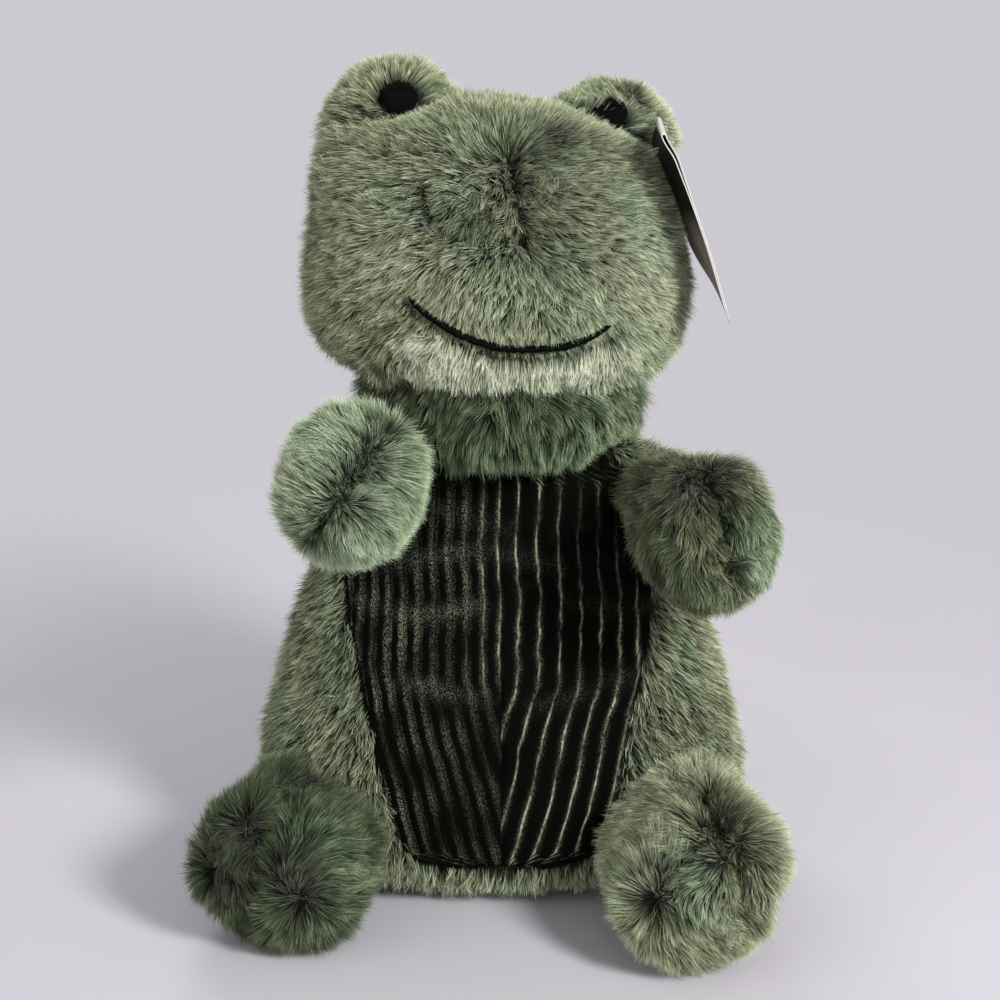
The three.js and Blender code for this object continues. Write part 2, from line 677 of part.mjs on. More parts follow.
addPiece(tag, 'hang_tag', solidOf(folded, tag)
  .intersect(solidOf(cardBlock, tag))
  .subtract(solidOf(hole, tag)), card);
addPiece(head, 'tag_fastener', barShaft(BAR_RADIUS, BAR_LENGTH).add(solidOf(barHead, tag)), clearPlastic);

export default frog;
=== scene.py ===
# Looks of a sitting plush frog: fur of real strands over soft stuffed forms, a corduroy belly,
# embroidered eyes and mouth, and a folded card tag. Everything is in metres.
import json
import math

import bpy
import numpy as np
from mathutils import Matrix, Vector
from mathutils.bvhtree import BVHTree
from mathutils.kdtree import KDTree


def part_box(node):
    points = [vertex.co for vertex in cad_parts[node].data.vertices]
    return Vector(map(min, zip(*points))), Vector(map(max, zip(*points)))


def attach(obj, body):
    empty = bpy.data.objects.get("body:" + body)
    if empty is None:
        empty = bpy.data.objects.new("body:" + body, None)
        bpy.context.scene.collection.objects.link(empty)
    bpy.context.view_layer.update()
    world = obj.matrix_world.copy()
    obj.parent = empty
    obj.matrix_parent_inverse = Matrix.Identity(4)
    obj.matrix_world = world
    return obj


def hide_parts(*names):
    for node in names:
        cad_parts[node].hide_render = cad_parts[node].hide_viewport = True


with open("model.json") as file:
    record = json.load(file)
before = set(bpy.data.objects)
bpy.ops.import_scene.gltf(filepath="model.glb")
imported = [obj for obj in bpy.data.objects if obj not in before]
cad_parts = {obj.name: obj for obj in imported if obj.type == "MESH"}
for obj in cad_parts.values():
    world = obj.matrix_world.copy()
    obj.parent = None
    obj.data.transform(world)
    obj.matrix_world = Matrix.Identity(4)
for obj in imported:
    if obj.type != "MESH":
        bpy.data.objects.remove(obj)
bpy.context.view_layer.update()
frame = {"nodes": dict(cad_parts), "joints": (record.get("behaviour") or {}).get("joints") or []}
nodes = frame["nodes"]
joints = {joint["child"]: joint for joint in frame["joints"]}
MM = 0.001
DENSITY = 1.0


# Camera: some places are named by where the 1000 by 1000 picture shows them

PICTURE_MIDDLE = 500
FOCAL_PIXELS = 1900
SENSOR = 36
CAMERA_DISTANCE = 0.690
# About how far off the forms are, and how many steps a line has between two places
FORM_DISTANCE = 0.66
LINE_STEPS = 12
tilt = math.radians(17)
ahead = (0, math.cos(tilt), -math.sin(tilt))
upward = (0, math.sin(tilt), math.cos(tilt))
camera_data = bpy.data.cameras.new("camera")
camera_data.sensor_width = SENSOR
camera_data.lens = FOCAL_PIXELS * SENSOR / (2 * PICTURE_MIDDLE)
camera_data.shift_x = -0.001
camera = bpy.data.objects.new("camera", camera_data)
bpy.context.scene.collection.objects.link(camera)
target = Vector((0, -0.028, 0.152))
camera.location = target - Vector(ahead) * CAMERA_DISTANCE
camera.rotation_euler = (target - camera.location).to_track_quat("-Z", "Y").to_euler()
bpy.context.scene.camera = camera


def seen(tree, x, y):
    """The point of a form that the picture shows at x, y, or the form's nearest to that line."""
    side = Vector((1, 0, 0)) * (x - PICTURE_MIDDLE) / FOCAL_PIXELS
    rise = Vector(upward) * (PICTURE_MIDDLE - y) / FOCAL_PIXELS
    way = (Vector(ahead) + side + rise).normalized()
    hit = tree.ray_cast(camera.location, way)
    if hit[0] is None:
        hit = tree.find_nearest(camera.location + way * FORM_DISTANCE)
    return np.array(hit[0])


def seen_line(tree, spots):
    """A line on a form through some places that the picture shows."""
    turns = np.arange(len(spots))
    steps = np.linspace(0, len(spots) - 1, LINE_STEPS * (len(spots) - 1) + 1)
    xs, ys = (np.interp(steps, turns, [spot[axis] for spot in spots]) for axis in (0, 1))
    return np.array([seen(tree, x, y) for x, y in zip(xs, ys)])


def pictured(points):
    """Where the picture shows some points."""
    away = points - np.array(camera.location)
    depth = away @ np.array(ahead)
    height = away @ np.array(upward)
    x = PICTURE_MIDDLE + FOCAL_PIXELS * away[:, 0] / depth
    return x, PICTURE_MIDDLE - FOCAL_PIXELS * height / depth


# Materials

def srgb(red, green, blue):
    """Linear colour from the 0 to 255 values of a picture."""
    def linear(value):
        share = value / 255
        return share / 12.92 if share <= 0.04045 else ((share + 0.055) / 1.055) ** 2.4
    return (linear(red), linear(green), linear(blue), 1.0)


class Shader:
    """A short way to lay out a node material."""

    def __init__(self, name, roughness, specular):
        self.material = bpy.data.materials.new(name)
        self.material.use_nodes = True
        self.tree = self.material.node_tree
        self.surface = self.tree.nodes["Principled BSDF"]
        self.surface.inputs["Roughness"].default_value = roughness
        self.surface.inputs["Specular IOR Level"].default_value = specular

    def add(self, kind, **settings):
        node = self.tree.nodes.new(kind)
        for key, value in settings.items():
            if key in node.inputs:
                node.inputs[key].default_value = value
            else:
                setattr(node, key, value)
        return node

    def link(self, source, target):
        self.tree.links.new(source, target)

    def ramp(self, source, stops, interpolation="LINEAR"):
        node = self.add("ShaderNodeValToRGB")
        node.color_ramp.interpolation = interpolation
        elements = node.color_ramp.elements
        while len(elements) < len(stops):
            elements.new(0.5)
        for element, (place, colour) in zip(elements, stops):
            element.position = place
            element.color = colour
        self.link(source, node.inputs["Fac"])
        return node.outputs["Color"]

    def mix(self, kind, factor, first, second):
        node = self.add("ShaderNodeMix", data_type="RGBA", blend_type=kind, clamp_result=True)
        sockets = [node.inputs[0], node.inputs[6], node.inputs[7]]
        for socket, value in zip(sockets, (factor, first, second)):
            if isinstance(value, bpy.types.NodeSocket):
                self.link(value, socket)
            else:
                socket.default_value = value
        return node.outputs[2]

    def noise(self, scale, detail=3.0):
        coordinates = self.add("ShaderNodeTexCoord")
        node = self.add("ShaderNodeTexNoise", Scale=scale, Detail=detail)
        self.link(coordinates.outputs["Object"], node.inputs["Vector"])
        return node.outputs["Fac"]

    def attribute(self, name):
        return self.add("ShaderNodeAttribute", attribute_name=name).outputs["Fac"]

    def bump(self, height, distance, strength):
        node = self.add("ShaderNodeBump", Distance=distance, Strength=strength)
        self.link(height, node.inputs["Height"])
        self.link(node.outputs["Normal"], self.surface.inputs["Normal"])

    def colour(self, source):
        self.link(source, self.surface.inputs["Base Color"])


def fade(low, high, dark=0.0):
    """The stops of a ramp from dark to white."""
    return [(low, (dark, dark, dark, 1)), (high, (1, 1, 1, 1))]


def darker(colour, share):
    return tuple(channel * share for channel in colour[:3]) + (1.0,)


# The families of fur colour: each runs from its darkest to its lightest along u
FUR_FAMILIES = [
    [(72, 76, 52), (172, 177, 140), (242, 243, 214)],
    [(68, 79, 55), (164, 179, 142), (236, 245, 216)],
    [(60, 77, 54), (149, 172, 136), (226, 242, 212)],
    [(130, 134, 108), (220, 223, 192), (253, 253, 236)],
]


def fur_material(name):
    """Colour from the strand's own UV: u holds its family and tone, v runs from root to tip, and the
    roots are darkened as painted shade.
    """
    shader = Shader(name, 0.8, 0.1)
    uv = shader.add("ShaderNodeUVMap", uv_map="OFBake")
    parts = shader.add("ShaderNodeSeparateXYZ")
    shader.link(uv.outputs["UV"], parts.inputs["Vector"])
    stops = []
    for index, family in enumerate(FUR_FAMILIES):
        for share, colour in zip((0.02, 0.5, 0.98), family):
            stops.append(((index + share) / len(FUR_FAMILIES), srgb(*colour)))
    tone = shader.ramp(parts.outputs["X"], stops)
    # Painted shade: the ramp along v darkens each strand towards its root, standing in for the shade deep
    # in the pile, and lightens its tip.
    along = shader.ramp(parts.outputs["Y"], [
        (0.0, (0.03, 0.033, 0.027, 1)),
        (0.35, (0.1, 0.11, 0.09, 1)),
        (0.7, (0.61, 0.63, 0.58, 1)),
        (1.0, (1.45, 1.45, 1.38, 1)),
    ])
    shader.colour(shader.mix("MULTIPLY", 1.0, tone, along))
    shader.surface.inputs["Sheen Weight"].default_value = 0.2
    shader.surface.inputs["Sheen Roughness"].default_value = 0.5
    return shader.material


def backing_material(name, colour):
    """The knitted backing under the pile."""
    shader = Shader(name, 0.95, 0.05)
    stitch = shader.noise(900.0, 2.0)
    patch = shader.noise(40.0, 3.0)
    shader.colour(shader.mix("MIX", patch, darker(colour, 0.6), colour))
    shader.bump(stitch, 0.0006, 0.8)
    return shader.material


# Soft forms

def smooth_mesh(name, points, faces):
    mesh = bpy.data.meshes.new(name)
    mesh.from_pydata(points, [], faces)
    mesh.polygons.foreach_set("use_smooth", [True] * len(mesh.polygons))
    return mesh


def joined(names):
    """One mesh from copies of the frame's nodes."""
    points = []
    faces = []
    for name in names:
        mesh = nodes[name].data
        start = len(points)
        points.extend(vertex.co.copy() for vertex in mesh.vertices)
        faces.extend([start + index for index in face.vertices] for face in mesh.polygons)
    return smooth_mesh("joined", points, faces)


def apply_modifiers(obj):
    graph = bpy.context.evaluated_depsgraph_get()
    mesh = bpy.data.meshes.new_from_object(obj.evaluated_get(graph))
    obj.modifiers.clear()
    obj.data = mesh


def place(name, data):
    """A new object in the scene."""
    obj = bpy.data.objects.new(name, data)
    bpy.context.scene.collection.objects.link(obj)
    return obj


def surface_arrays(mesh):
    count = len(mesh.vertices)
    points = np.empty(count * 3)
    normals = np.empty(count * 3)
    mesh.vertices.foreach_get("co", points)
    mesh.vertices.foreach_get("normal", normals)
    return points.reshape(-1, 3), normals.reshape(-1, 3)


def node_points(name):
    return surface_arrays(nodes[name].data)[0]


def box_of(name):
    """A node's lowest and highest corners as arrays."""
    low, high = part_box(name)
    return np.array(low), np.array(high)


def triangles_of(mesh):
    mesh.calc_loop_triangles()
    faces = np.empty(len(mesh.loop_triangles) * 3, dtype=np.int64)
    mesh.loop_triangles.foreach_get("vertices", faces)
    return faces.reshape(-1, 3)


def scatter(mesh, count, rng):
    """Random points on a mesh, even over its area, with smooth normals."""
    points, normals = surface_arrays(mesh)
    faces = triangles_of(mesh)
    corners = points[faces]
    doubled = np.cross(corners[:, 1] - corners[:, 0], corners[:, 2] - corners[:, 0])
    areas = np.linalg.norm(doubled, axis=1)
    chosen = rng.choice(len(faces), size=count, p=areas / areas.sum())
    first = np.sqrt(rng.random(count))
    second = rng.random(count)
    weights = np.stack([1 - first, first * (1 - second), first * second], axis=1)[:, :, None]
    roots = (corners[chosen] * weights).sum(axis=1)
    ways = (normals[faces[chosen]] * weights).sum(axis=1)
    return roots, unit(ways)


def unit(vectors):
    lengths = np.linalg.norm(vectors, axis=-1, keepdims=True)
    return vectors / np.maximum(lengths, 1e-9)


WAVE_LAYERS = 6
WAVE_CHANNELS = 3
WAVE_SCALE = 2.6


def waves(points, length, seed):
    """Smooth noise of three channels, about -1 to 1, with a wave of the given length."""
    rng = np.random.default_rng(seed)
    total = np.zeros((len(points), WAVE_CHANNELS))
    for layer in range(WAVE_LAYERS):
        turns = rng.normal(size=(3, WAVE_CHANNELS))
        pitch = 0.6 + 0.25 * layer
        turns = turns / np.linalg.norm(turns, axis=0) * (2 * math.pi / length) * pitch
        total += np.sin(points @ turns + rng.random(WAVE_CHANNELS) * 2 * math.pi)
    return total / WAVE_SCALE


def smooth_step(values, low, high):
    share = np.clip((values - low) / (high - low), 0, 1)
    return share * share * (3 - 2 * share)


def bell(values, width):
    """1 where the values are zero, falling off smoothly at about the width."""
    return np.exp(-(values / width) ** 2)


def distances(points, spot):
    return np.linalg.norm(points - spot, axis=1)


def kd_tree(points):
    tree = KDTree(len(points))
    for index, point in enumerate(points):
        tree.insert(point, index)
    tree.balance()
    return tree


def nearest_distance(targets, points):
    tree = kd_tree(targets)
    return np.array([tree.find(point)[2] for point in points])


# Fur

def strand_paths(roots, normals, combs, lengths, leans, bends, rows):
    """Points along each strand: it leaves near the normal and leans over towards its comb."""
    combs = unit(combs - normals * (combs * normals).sum(axis=1, keepdims=True))
    paths = [roots]
    here = roots
    for row in range(rows):
        angle = (leans + bends * (row + 0.5) / rows)[:, None]
        way = normals * np.cos(angle) + combs * np.sin(angle)
        here = here + way * (lengths / rows)[:, None]
        paths.append(here)
    return np.stack(paths, axis=1)


def clumped(paths, centres, pull):
    """Draws each strand's upper part towards the nearest centre strand."""
    tree = kd_tree(centres[:, 0])
    owner = np.array([tree.find(path[0])[1] for path in paths])
    rows = paths.shape[1] - 1
    shares = (np.arange(rows + 1) / rows)[None, :, None] ** 1.3
    return paths + (centres[owner] - paths) * shares * pull[:, None, None], owner


def strand_mesh(name, paths, normals, widths, tones, material, rng):
    """Narrow tapered ribbons, each turned its own way about its length."""
    count = len(paths)
    rows = paths.shape[1] - 1
    size = 2 * rows + 1
    along = unit(paths[:, -1] - paths[:, 0])
    flat = unit(np.cross(along, normals + rng.normal(scale=0.6, size=normals.shape)))
    shares = np.linspace(1.0, 0.62, rows)
    points = np.empty((count, size, 3))
    for row in range(rows):
        half = flat * (widths * shares[row] / 2)[:, None]
        points[:, 2 * row] = paths[:, row] - half
        points[:, 2 * row + 1] = paths[:, row] + half
    points[:, 2 * rows] = paths[:, rows]
    pattern = []
    for row in range(rows - 1):
        pattern.append([2 * row, 2 * row + 1, 2 * row + 3, 2 * row + 2])
    pattern.append([2 * rows - 2, 2 * rows - 1, 2 * rows])
    flat_pattern = np.array(sum(pattern, []))
    sizes = np.tile([len(face) for face in pattern], count)
    loops = (np.arange(count)[:, None] * size + flat_pattern[None, :]).ravel()
    mesh = bpy.data.meshes.new(name)
    mesh.vertices.add(count * size)
    mesh.vertices.foreach_set("co", points.ravel())
    mesh.loops.add(len(loops))
    mesh.loops.foreach_set("vertex_index", loops)
    mesh.polygons.add(len(sizes))
    mesh.polygons.foreach_set("loop_start", np.concatenate([[0], np.cumsum(sizes)[:-1]]))
    mesh.polygons.foreach_set("loop_total", sizes)
    mesh.polygons.foreach_set("use_smooth", [True] * len(sizes))
    uv = mesh.uv_layers.new(name="OFBake")
    heights = np.array([(index // 2) / rows for index in range(size)])
    sides = np.array([0.0 if index % 2 == 0 else 1.0 for index in range(size)])
    across = tones[:, None] + (sides[flat_pattern][None, :] - 0.5) * 0.002
    upward = np.tile(heights[flat_pattern][None, :], (count, 1))
    uv.data.foreach_set("uv", np.stack([across, upward], axis=2).ravel())
    mesh.update()
    mesh.validate()
    mesh.materials.append(material)
    return place(name, mesh)


def tone_place(family, tone):
    """The u of a strand from its family and its tone between 0 and 1."""
    return (family + np.clip(tone, 0.03, 0.97)) / len(FUR_FAMILIES)


def near_creases(form, roots):
    """From 0 to 1, how near each root is to a line where the form is drawn in."""
    near = np.zeros(len(roots))
    for line, width in creases.get(form.name, []):
        near = np.maximum(near, bell(nearest_distance(line, roots), width))
    return near


LEAST_CLUMPS = 8
FLOOR_GAP = 0.0004
SHIFTED_SHARE = 0.2


def grow(name, body, form, count, length, comb_at, tone_at, keep_at, seed, width, lean=0.25,
         bend=0.8, clump=1.6, pull=0.58, rows=2, fit_at=None, lean_at=None):
    """Grows fur on a form: where it may, how it is combed and its tone come as functions.

    Length, width and clump are in mm.
    """
    rng = np.random.default_rng(seed)
    roots, normals = scatter(form.data, int(count * DENSITY), rng)
    kept = keep_at(roots, normals)
    roots = roots[kept]
    normals = normals[kept]
    rough = waves(roots, 0.026, seed + 1)
    fine = waves(roots, 0.009, seed + 2)
    near = near_creases(form, roots)
    combs = unit(comb_at(roots, normals)) + 0.35 * rough + 0.4 * fine
    lengths = length * MM * (1 + 0.1 * rough[:, 0]) * rng.uniform(0.7, 1.12, len(roots))
    lengths = lengths * (1 - 0.78 * near)
    if fit_at:
        lengths = np.minimum(lengths, fit_at(roots))
    leans = lean + 0.12 * rough[:, 1] + rng.normal(scale=0.15, size=len(roots))
    if lean_at:
        leans = leans * lean_at(roots)
    bends = bend + rng.normal(scale=0.15, size=len(roots))
    own = combs + rng.normal(scale=0.2, size=combs.shape)
    paths = strand_paths(roots, normals, own, lengths, leans, bends, rows)
    area = sum(face.area for face in form.data.polygons) * len(roots) / (count * DENSITY)
    spread = max(LEAST_CLUMPS, int(area / (clump * MM) ** 2))
    picked = rng.choice(len(roots), size=min(spread, len(roots) // 3), replace=False)
    centres = strand_paths(roots[picked], normals[picked], combs[picked], lengths[picked] * 1.06,
                           leans[picked], bends[picked], rows)
    paths, owner = clumped(paths, centres, pull * rng.uniform(0.4, 1.15, len(roots)))
    paths[:, :, 2] = np.maximum(paths[:, :, 2], FLOOR_GAP)
    family, tone = tone_at(roots, normals)
    clump_tone = rng.normal(scale=0.13, size=len(picked))[owner]
    own_tone = rng.normal(scale=0.17, size=len(roots))
    # Painted shade: the tone drops by up to 0.4 at the lines where the form is drawn in, for the shade in
    # those creases.
    tone = tone + clump_tone + own_tone + 0.05 * rough[:, 2] - 0.4 * near
    shift = rng.random(len(roots)) < SHIFTED_SHARE
    family = np.where(shift, np.clip(family - 1, 0, 3), family)
    widths = width * MM * rng.uniform(0.7, 1.25, len(roots)) / math.sqrt(DENSITY)
    piece = strand_mesh(name, paths, normals, widths, tone_place(family, tone), fur, rng)
    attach(piece, body)


fur = fur_material("fur")
backing = backing_material("fur_backing", srgb(58, 64, 48))
# The neck's form gets a darker backing than the rest, as painted shade under the head.
shaded_neck_backing = backing_material("neck_backing_painted_shade", srgb(40, 46, 36))


def stand_for(obj, body, slot, material, *names):
    """The object gets its material, rides on a body and stands for some nodes."""
    obj.data.materials.clear()
    obj.data.materials.append(material)
    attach(obj, body)
    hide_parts(*names)


SMOOTHING = 0.5
SMOOTH_ROUNDS = 22


def under_form(name, body, names, sink, material=backing, voxel=0.003):
    """The smooth closed form under a body's pile, in the space of its nodes and sunk by some mm."""
    obj = place(name, joined(names))
    remesh = obj.modifiers.new("remesh", "REMESH")
    remesh.mode = "VOXEL"
    remesh.voxel_size = voxel
    smooth = obj.modifiers.new("smooth", "SMOOTH")
    smooth.factor = SMOOTHING
    smooth.iterations = SMOOTH_ROUNDS
    apply_modifiers(obj)
    points, normals = surface_arrays(obj.data)
    obj.data.vertices.foreach_set("co", (points - normals * (sink * MM)).ravel())
    obj.data.polygons.foreach_set("use_smooth", [True] * len(obj.data.polygons))
    obj.data.update()
    stand_for(obj, body, "fur", material, *names)
    return obj


def tree_of(obj):
    points, _ = surface_arrays(obj.data)
    faces = triangles_of(obj.data)
    return BVHTree.FromPolygons([Vector(point) for point in points], faces.tolist())


creases = {}


def crease(form, spots, depth, width):
    """Draws a form's surface in along a line that the picture shows, or out for a depth below zero."""
    line = seen_line(tree_of(form), spots)
    points, normals = surface_arrays(form.data)
    pull = depth * MM * bell(nearest_distance(line, points), width * MM)
    form.data.vertices.foreach_set("co", (points - normals * pull[:, None]).ravel())
    form.data.update()
    if depth > 0:
        inward = -normals[[int(distances(points, spot).argmin()) for spot in line]]
        layers = [line + inward * depth * MM * share for share in (0, 0.35, 0.7, 1)]
        creases.setdefault(form.name, []).append((np.concatenate(layers), width * MM))


COUNTING_WAY = Vector((0.31, 0.23, 0.92))
PAST_FACE = 1e-5
FAR_OUTSIDE = -1.0
NEAR_REACH = 0.03


def is_inside(tree, point):
    """Whether a point lies in a closed form, by counting its faces along a line."""
    inside = False
    hit = tree.ray_cast(point, COUNTING_WAY)
    while hit[0] is not None:
        inside = not inside
        hit = tree.ray_cast(hit[0] + COUNTING_WAY * PAST_FACE, COUNTING_WAY)
    return inside


def depth_inside(tree, points):
    """How far each point lies inside a closed form, and below zero outside it."""
    result = np.full(len(points), FAR_OUTSIDE)
    for index, point in enumerate(points):
        spot = Vector(point)
        away = tree.find_nearest(spot, NEAR_REACH)[3]
        if away is not None:
            result[index] = away if is_inside(tree, spot) else -away
    return result


def placed(form, rows):
    """The rows, each with a point of the form instead of its picture x and y."""
    tree = tree_of(form)
    return [(seen(tree, x, y), *rest) for x, y, *rest in rows]


def blown(roots, combs, winds):
    """The combs, with each wind taking over round its place.

    A wind is a place, its radius in mm, and its step to the right and up.
    """
    total = np.full(len(roots), 1e-9)
    push = np.zeros(roots.shape)
    for spot, radius, right, up in winds:
        weight = bell(distances(roots, spot), radius * MM)
        total += weight
        push += weight[:, None] * np.array([right, 0.0, up])
    share = np.minimum(total, 1)[:, None]
    return unit(combs) * (1 - share) + push / total[:, None] * share


def dabs(roots, marks):
    """What some marks add round them: each is a place, its radius in mm and its change."""
    added = np.zeros(len(roots))
    for spot, radius, change in marks:
        added += change * bell(distances(roots, spot), radius * MM)
    return added


# Forms under the fur
head_names = ["face_skin", "lip_skin", "head_back_skin", "head_stuffing", "left_eye_dome",
              "left_eye_stuffing", "right_eye_dome", "right_eye_stuffing"]
head_form = under_form("head_form", "head", head_names, 3.5)
neck_form = under_form("neck_form", "neck", ["neck_skin", "neck_stuffing"], 4.0, material=shaded_neck_backing)
torso_form = under_form("torso_form", "torso", ["torso_skin", "torso_stuffing", "pellet_bag"], 3.5)
limb_names = ["left_arm", "right_arm", "left_leg", "right_leg"]
limb_forms = {
    name: under_form(f"{name}_form", name, [f"{name}_skin", f"{name}_stuffing"], 4.0, voxel=0.0022)
    for name in limb_names
}

# The nose's upright crease and the dent beside it
crease(head_form, [(508, 162), (516, 205), (522, 246)], 3.0, 1.3)
crease(head_form, [(428, 185), (436, 225), (478, 242), (508, 236)], 1.8, 2.4)
# Fuller places on the domes and the chin
crease(head_form, [(353, 136), (347, 166)], -6.0, 13.0)
crease(head_form, [(570, 93), (604, 84)], -2.6, 9.0)
crease(neck_form, [(634, 412), (628, 425)], -4.5, 11.0)
# The valleys between the paws' lobes and the toes
crease(limb_forms["right_arm"], [(401, 413), (358, 470), (315, 534)], 3.2, 3.0)
crease(limb_forms["left_arm"], [(690, 452), (711, 487), (724, 530), (724, 566)], 6.0, 4.0)
crease(limb_forms["right_leg"], [(280, 800), (263, 850), (252, 895), (246, 935)], 6.5, 4.4)
crease(limb_forms["left_leg"], [(702, 798), (718, 826), (736, 856), (744, 900)], 8.0, 4.4)
crease(limb_forms["left_leg"], [(712, 846), (690, 862), (672, 880)], 3.5, 3.6)

head_tree = tree_of(head_form)
neck_tree = tree_of(neck_form)
nose_line = np.linspace(seen(head_tree, 508, 168), seen(head_tree, 521, 246), 16)

# The eye domes are balls that stand in the head's top
EYE_RADIUS = 0.0232
EYE_SINK = 0.0025
eye_centres = {}
pupil_spots = {}
for side in ("left", "right"):
    low, high = box_of(f"{side}_eye_dome")
    eye_centres[side] = (low + high) / 2
    eye_centres[side][2] = high[2] - EYE_RADIUS
    low, high = box_of(f"{side}_pupil")
    pupil_spots[side] = (low + high) / 2


def in_eye(side, roots, margin=0.0):
    """Whether a root stands on an eye dome rather than on the head round it."""
    return distances(roots, eye_centres[side]) < EYE_RADIUS - EYE_SINK + margin


# The mouth's line, in points from the frog's right to its left
MOUTH_POINTS = 60
MOUTH_END = 0.0012


def mouth_line():
    """The middle of the mouth's thread at even steps across the face."""
    low, high = box_of("mouth_stitch")
    points = node_points("mouth_stitch")
    line = []
    for stop in np.linspace(low[0] + MOUTH_END, high[0] - MOUTH_END, MOUTH_POINTS):
        close = points[np.argsort(np.abs(points[:, 0] - stop))[:10]]
        line.append(close.mean(axis=0))
    line = np.array(line)
    for _ in range(12):
        line[1:-1] = (line[:-2] + 2 * line[1:-1] + line[2:]) / 4
    return line


mouth = mouth_line()


def mouth_height(across):
    return np.interp(across, mouth[:, 0], mouth[:, 2])


def below_mouth(roots):
    """How far a root lies below the mouth's line."""
    return mouth_height(roots[:, 0]) - roots[:, 2]


# Where the picture shows the lip's top, its lowest roots and the fringe's end
LIP_TOP = 330
LIP_ROOTS_END = 377
LIP_END = 391
# A pixel's size at the lip, and the furthest back that the patch goes
LIP_METRES_PER_PIXEL = 0.00033
LIP_BACK = -0.008


def is_lip(roots):
    """The pale patch hangs from the mouth to a level line, as the picture shows it."""
    x, y = pictured(roots)
    down = y - LIP_TOP
    between = (x > 402 + 0.25 * down) & (x < 624 - 0.2 * down) & (down > 0) & (y < LIP_ROOTS_END)
    return between & (below_mouth(roots) > MM) & (roots[:, 1] < LIP_BACK)


def outside_others(roots):
    on_eye = in_eye("left", roots) | in_eye("right", roots)
    return ~on_eye & (depth_inside(neck_tree, roots) < MM)


BACK_STARTS = 0.014
MOUTH_BARE = 0.0026


def face_keep(roots, normals):
    clear = nearest_distance(mouth, roots) > MOUTH_BARE
    return ~is_lip(roots) & clear & (roots[:, 1] < BACK_STARTS) & outside_others(roots)


def back_keep(roots, normals):
    return (roots[:, 1] >= BACK_STARTS) & outside_others(roots)


def from_nose(roots):
    """The way and the distance from the nearest point of the nose's crease."""
    away = roots[:, None, :] - nose_line[None, :, :]
    lengths = np.linalg.norm(away, axis=2)
    nearest = lengths.argmin(axis=1)
    index = np.arange(len(roots))
    return unit(away[index, nearest]), lengths[index, nearest]


face_winds = placed(head_form, [
    (375, 215, 7, -0.8, 0.5), (400, 260, 8, -0.3, -1.0), (560, 150, 12, 1.0, -0.1),
    (640, 300, 16, 0.7, -0.8), (560, 240, 12, 1.0, -0.5), (470, 110, 10, -0.5, 0.8),
    (330, 190, 10, -0.9, 0.5), (480, 320, 12, -0.15, -1.0),
])


def face_comb(roots, normals):
    radial, _ = from_nose(roots)
    backward = np.array([0, 0.35, -1.0])
    share = smooth_step(roots[:, 1], 0.0, 0.045)[:, None]
    sink = np.array([0, 0, -0.35])
    return blown(roots, radial * (1 - share) + backward * share + sink, face_winds)


def face_lean(roots):
    """The pile stands up beside the nose's crease, on the picture's left, and lies over elsewhere."""
    right = smooth_step(roots[:, 0], 0.002, 0.006)
    _, away = from_nose(roots)
    return 0.5 + 0.7 * np.maximum(smooth_step(away, 0.003, 0.026), 0.7 * right)


# The tag's swing is looked at in some stops, and pile within its reach is trimmed
TAG_STOPS = 7
TAG_REACH = 0.014
TAG_SINK = 0.002
TAG_LEAST_PILE = 0.0022
FACE_LEAST_PILE = 0.0018
CHIN_PILE = 0.006


def swung_tag():
    """The tag at several places of its swing, as one tree."""
    hinge = joints["tag"]
    pivot = Vector(hinge["pos_m"])
    points = node_points("hang_tag")
    faces = triangles_of(nodes["hang_tag"].data)
    spots = []
    corners = []
    for angle in np.linspace(*hinge["range_deg"], TAG_STOPS):
        turn = Matrix.Rotation(math.radians(angle), 3, Vector(hinge["axis"]))
        corners.extend((faces + len(spots)).tolist())
        spots.extend(pivot + turn @ (Vector(point) - pivot) for point in points)
    return BVHTree.FromPolygons(spots, corners)


tag_tree = swung_tag()


def tag_fit(roots):
    """The pile is pressed short where the tag swings over it."""
    found = [tag_tree.find_nearest(Vector(root), TAG_REACH)[3] for root in roots]
    away = np.array([TAG_REACH if distance is None else distance for distance in found])
    return np.maximum((away - TAG_SINK) * 1.3, TAG_LEAST_PILE)


def face_fit(roots):
    """The pile is cut shorter towards the mouth, in front of the pupils and at the tag."""
    above = roots[:, 2] > mouth_height(roots[:, 0]) - 0.002
    near = np.where(above, nearest_distance(mouth, roots) * 1.2, 0.05)
    chin = ~above & (below_mouth(roots) < 0.03) & (np.abs(roots[:, 0]) < 0.036)
    near = np.where(chin, CHIN_PILE, near)
    for spot in pupil_spots.values():
        near = np.minimum(near, distances(roots, spot) * 0.62 - 0.0042)
    return np.minimum(np.maximum(near, FACE_LEAST_PILE), tag_fit(roots))


# Dabs of tone; the dark ones at (484, 214) and (450, 228), in the dent beside the nose and along the
# lower edge of its bulge, are painted shade.
face_marks = placed(head_form, [
    (484, 214, 7, -0.3), (450, 228, 6, -0.16), (420, 150, 12, 0.02), (330, 300, 16, 0.0),
    (640, 260, 20, 0.27), (560, 290, 14, 0.2), (470, 300, 14, 0.2), (500, 110, 12, -0.17),
    (560, 140, 14, -0.1), (372, 235, 9, 0.1), (350, 350, 14, -0.1), (620, 355, 12, 0.14),
    (470, 150, 10, 0.04), (405, 262, 8, 0.1), (585, 200, 12, 0.08), (520, 300, 8, 0.12),
    (519, 205, 3, 0.16), (524, 235, 3, 0.16), (540, 258, 5, -0.12),
])


def face_tone(roots, normals):
    side = smooth_step(roots[:, 0], -0.06, 0.05)
    patch = waves(roots, 0.045, 5)
    family = np.where(patch[:, 0] + 1.4 * side > 0.7, 1.0, 0.0)
    family = np.where(patch[:, 1] + side > 1.8, 2.0, family)
    mottle = waves(roots, 0.0032, 15)[:, 0] * 0.27 * (1 - 0.6 * side)
    # Painted light: the tone rises by 0.07 towards the frog's left, where the lamp falls.
    return family, 0.55 + 0.07 * side + mottle + dabs(roots, face_marks)


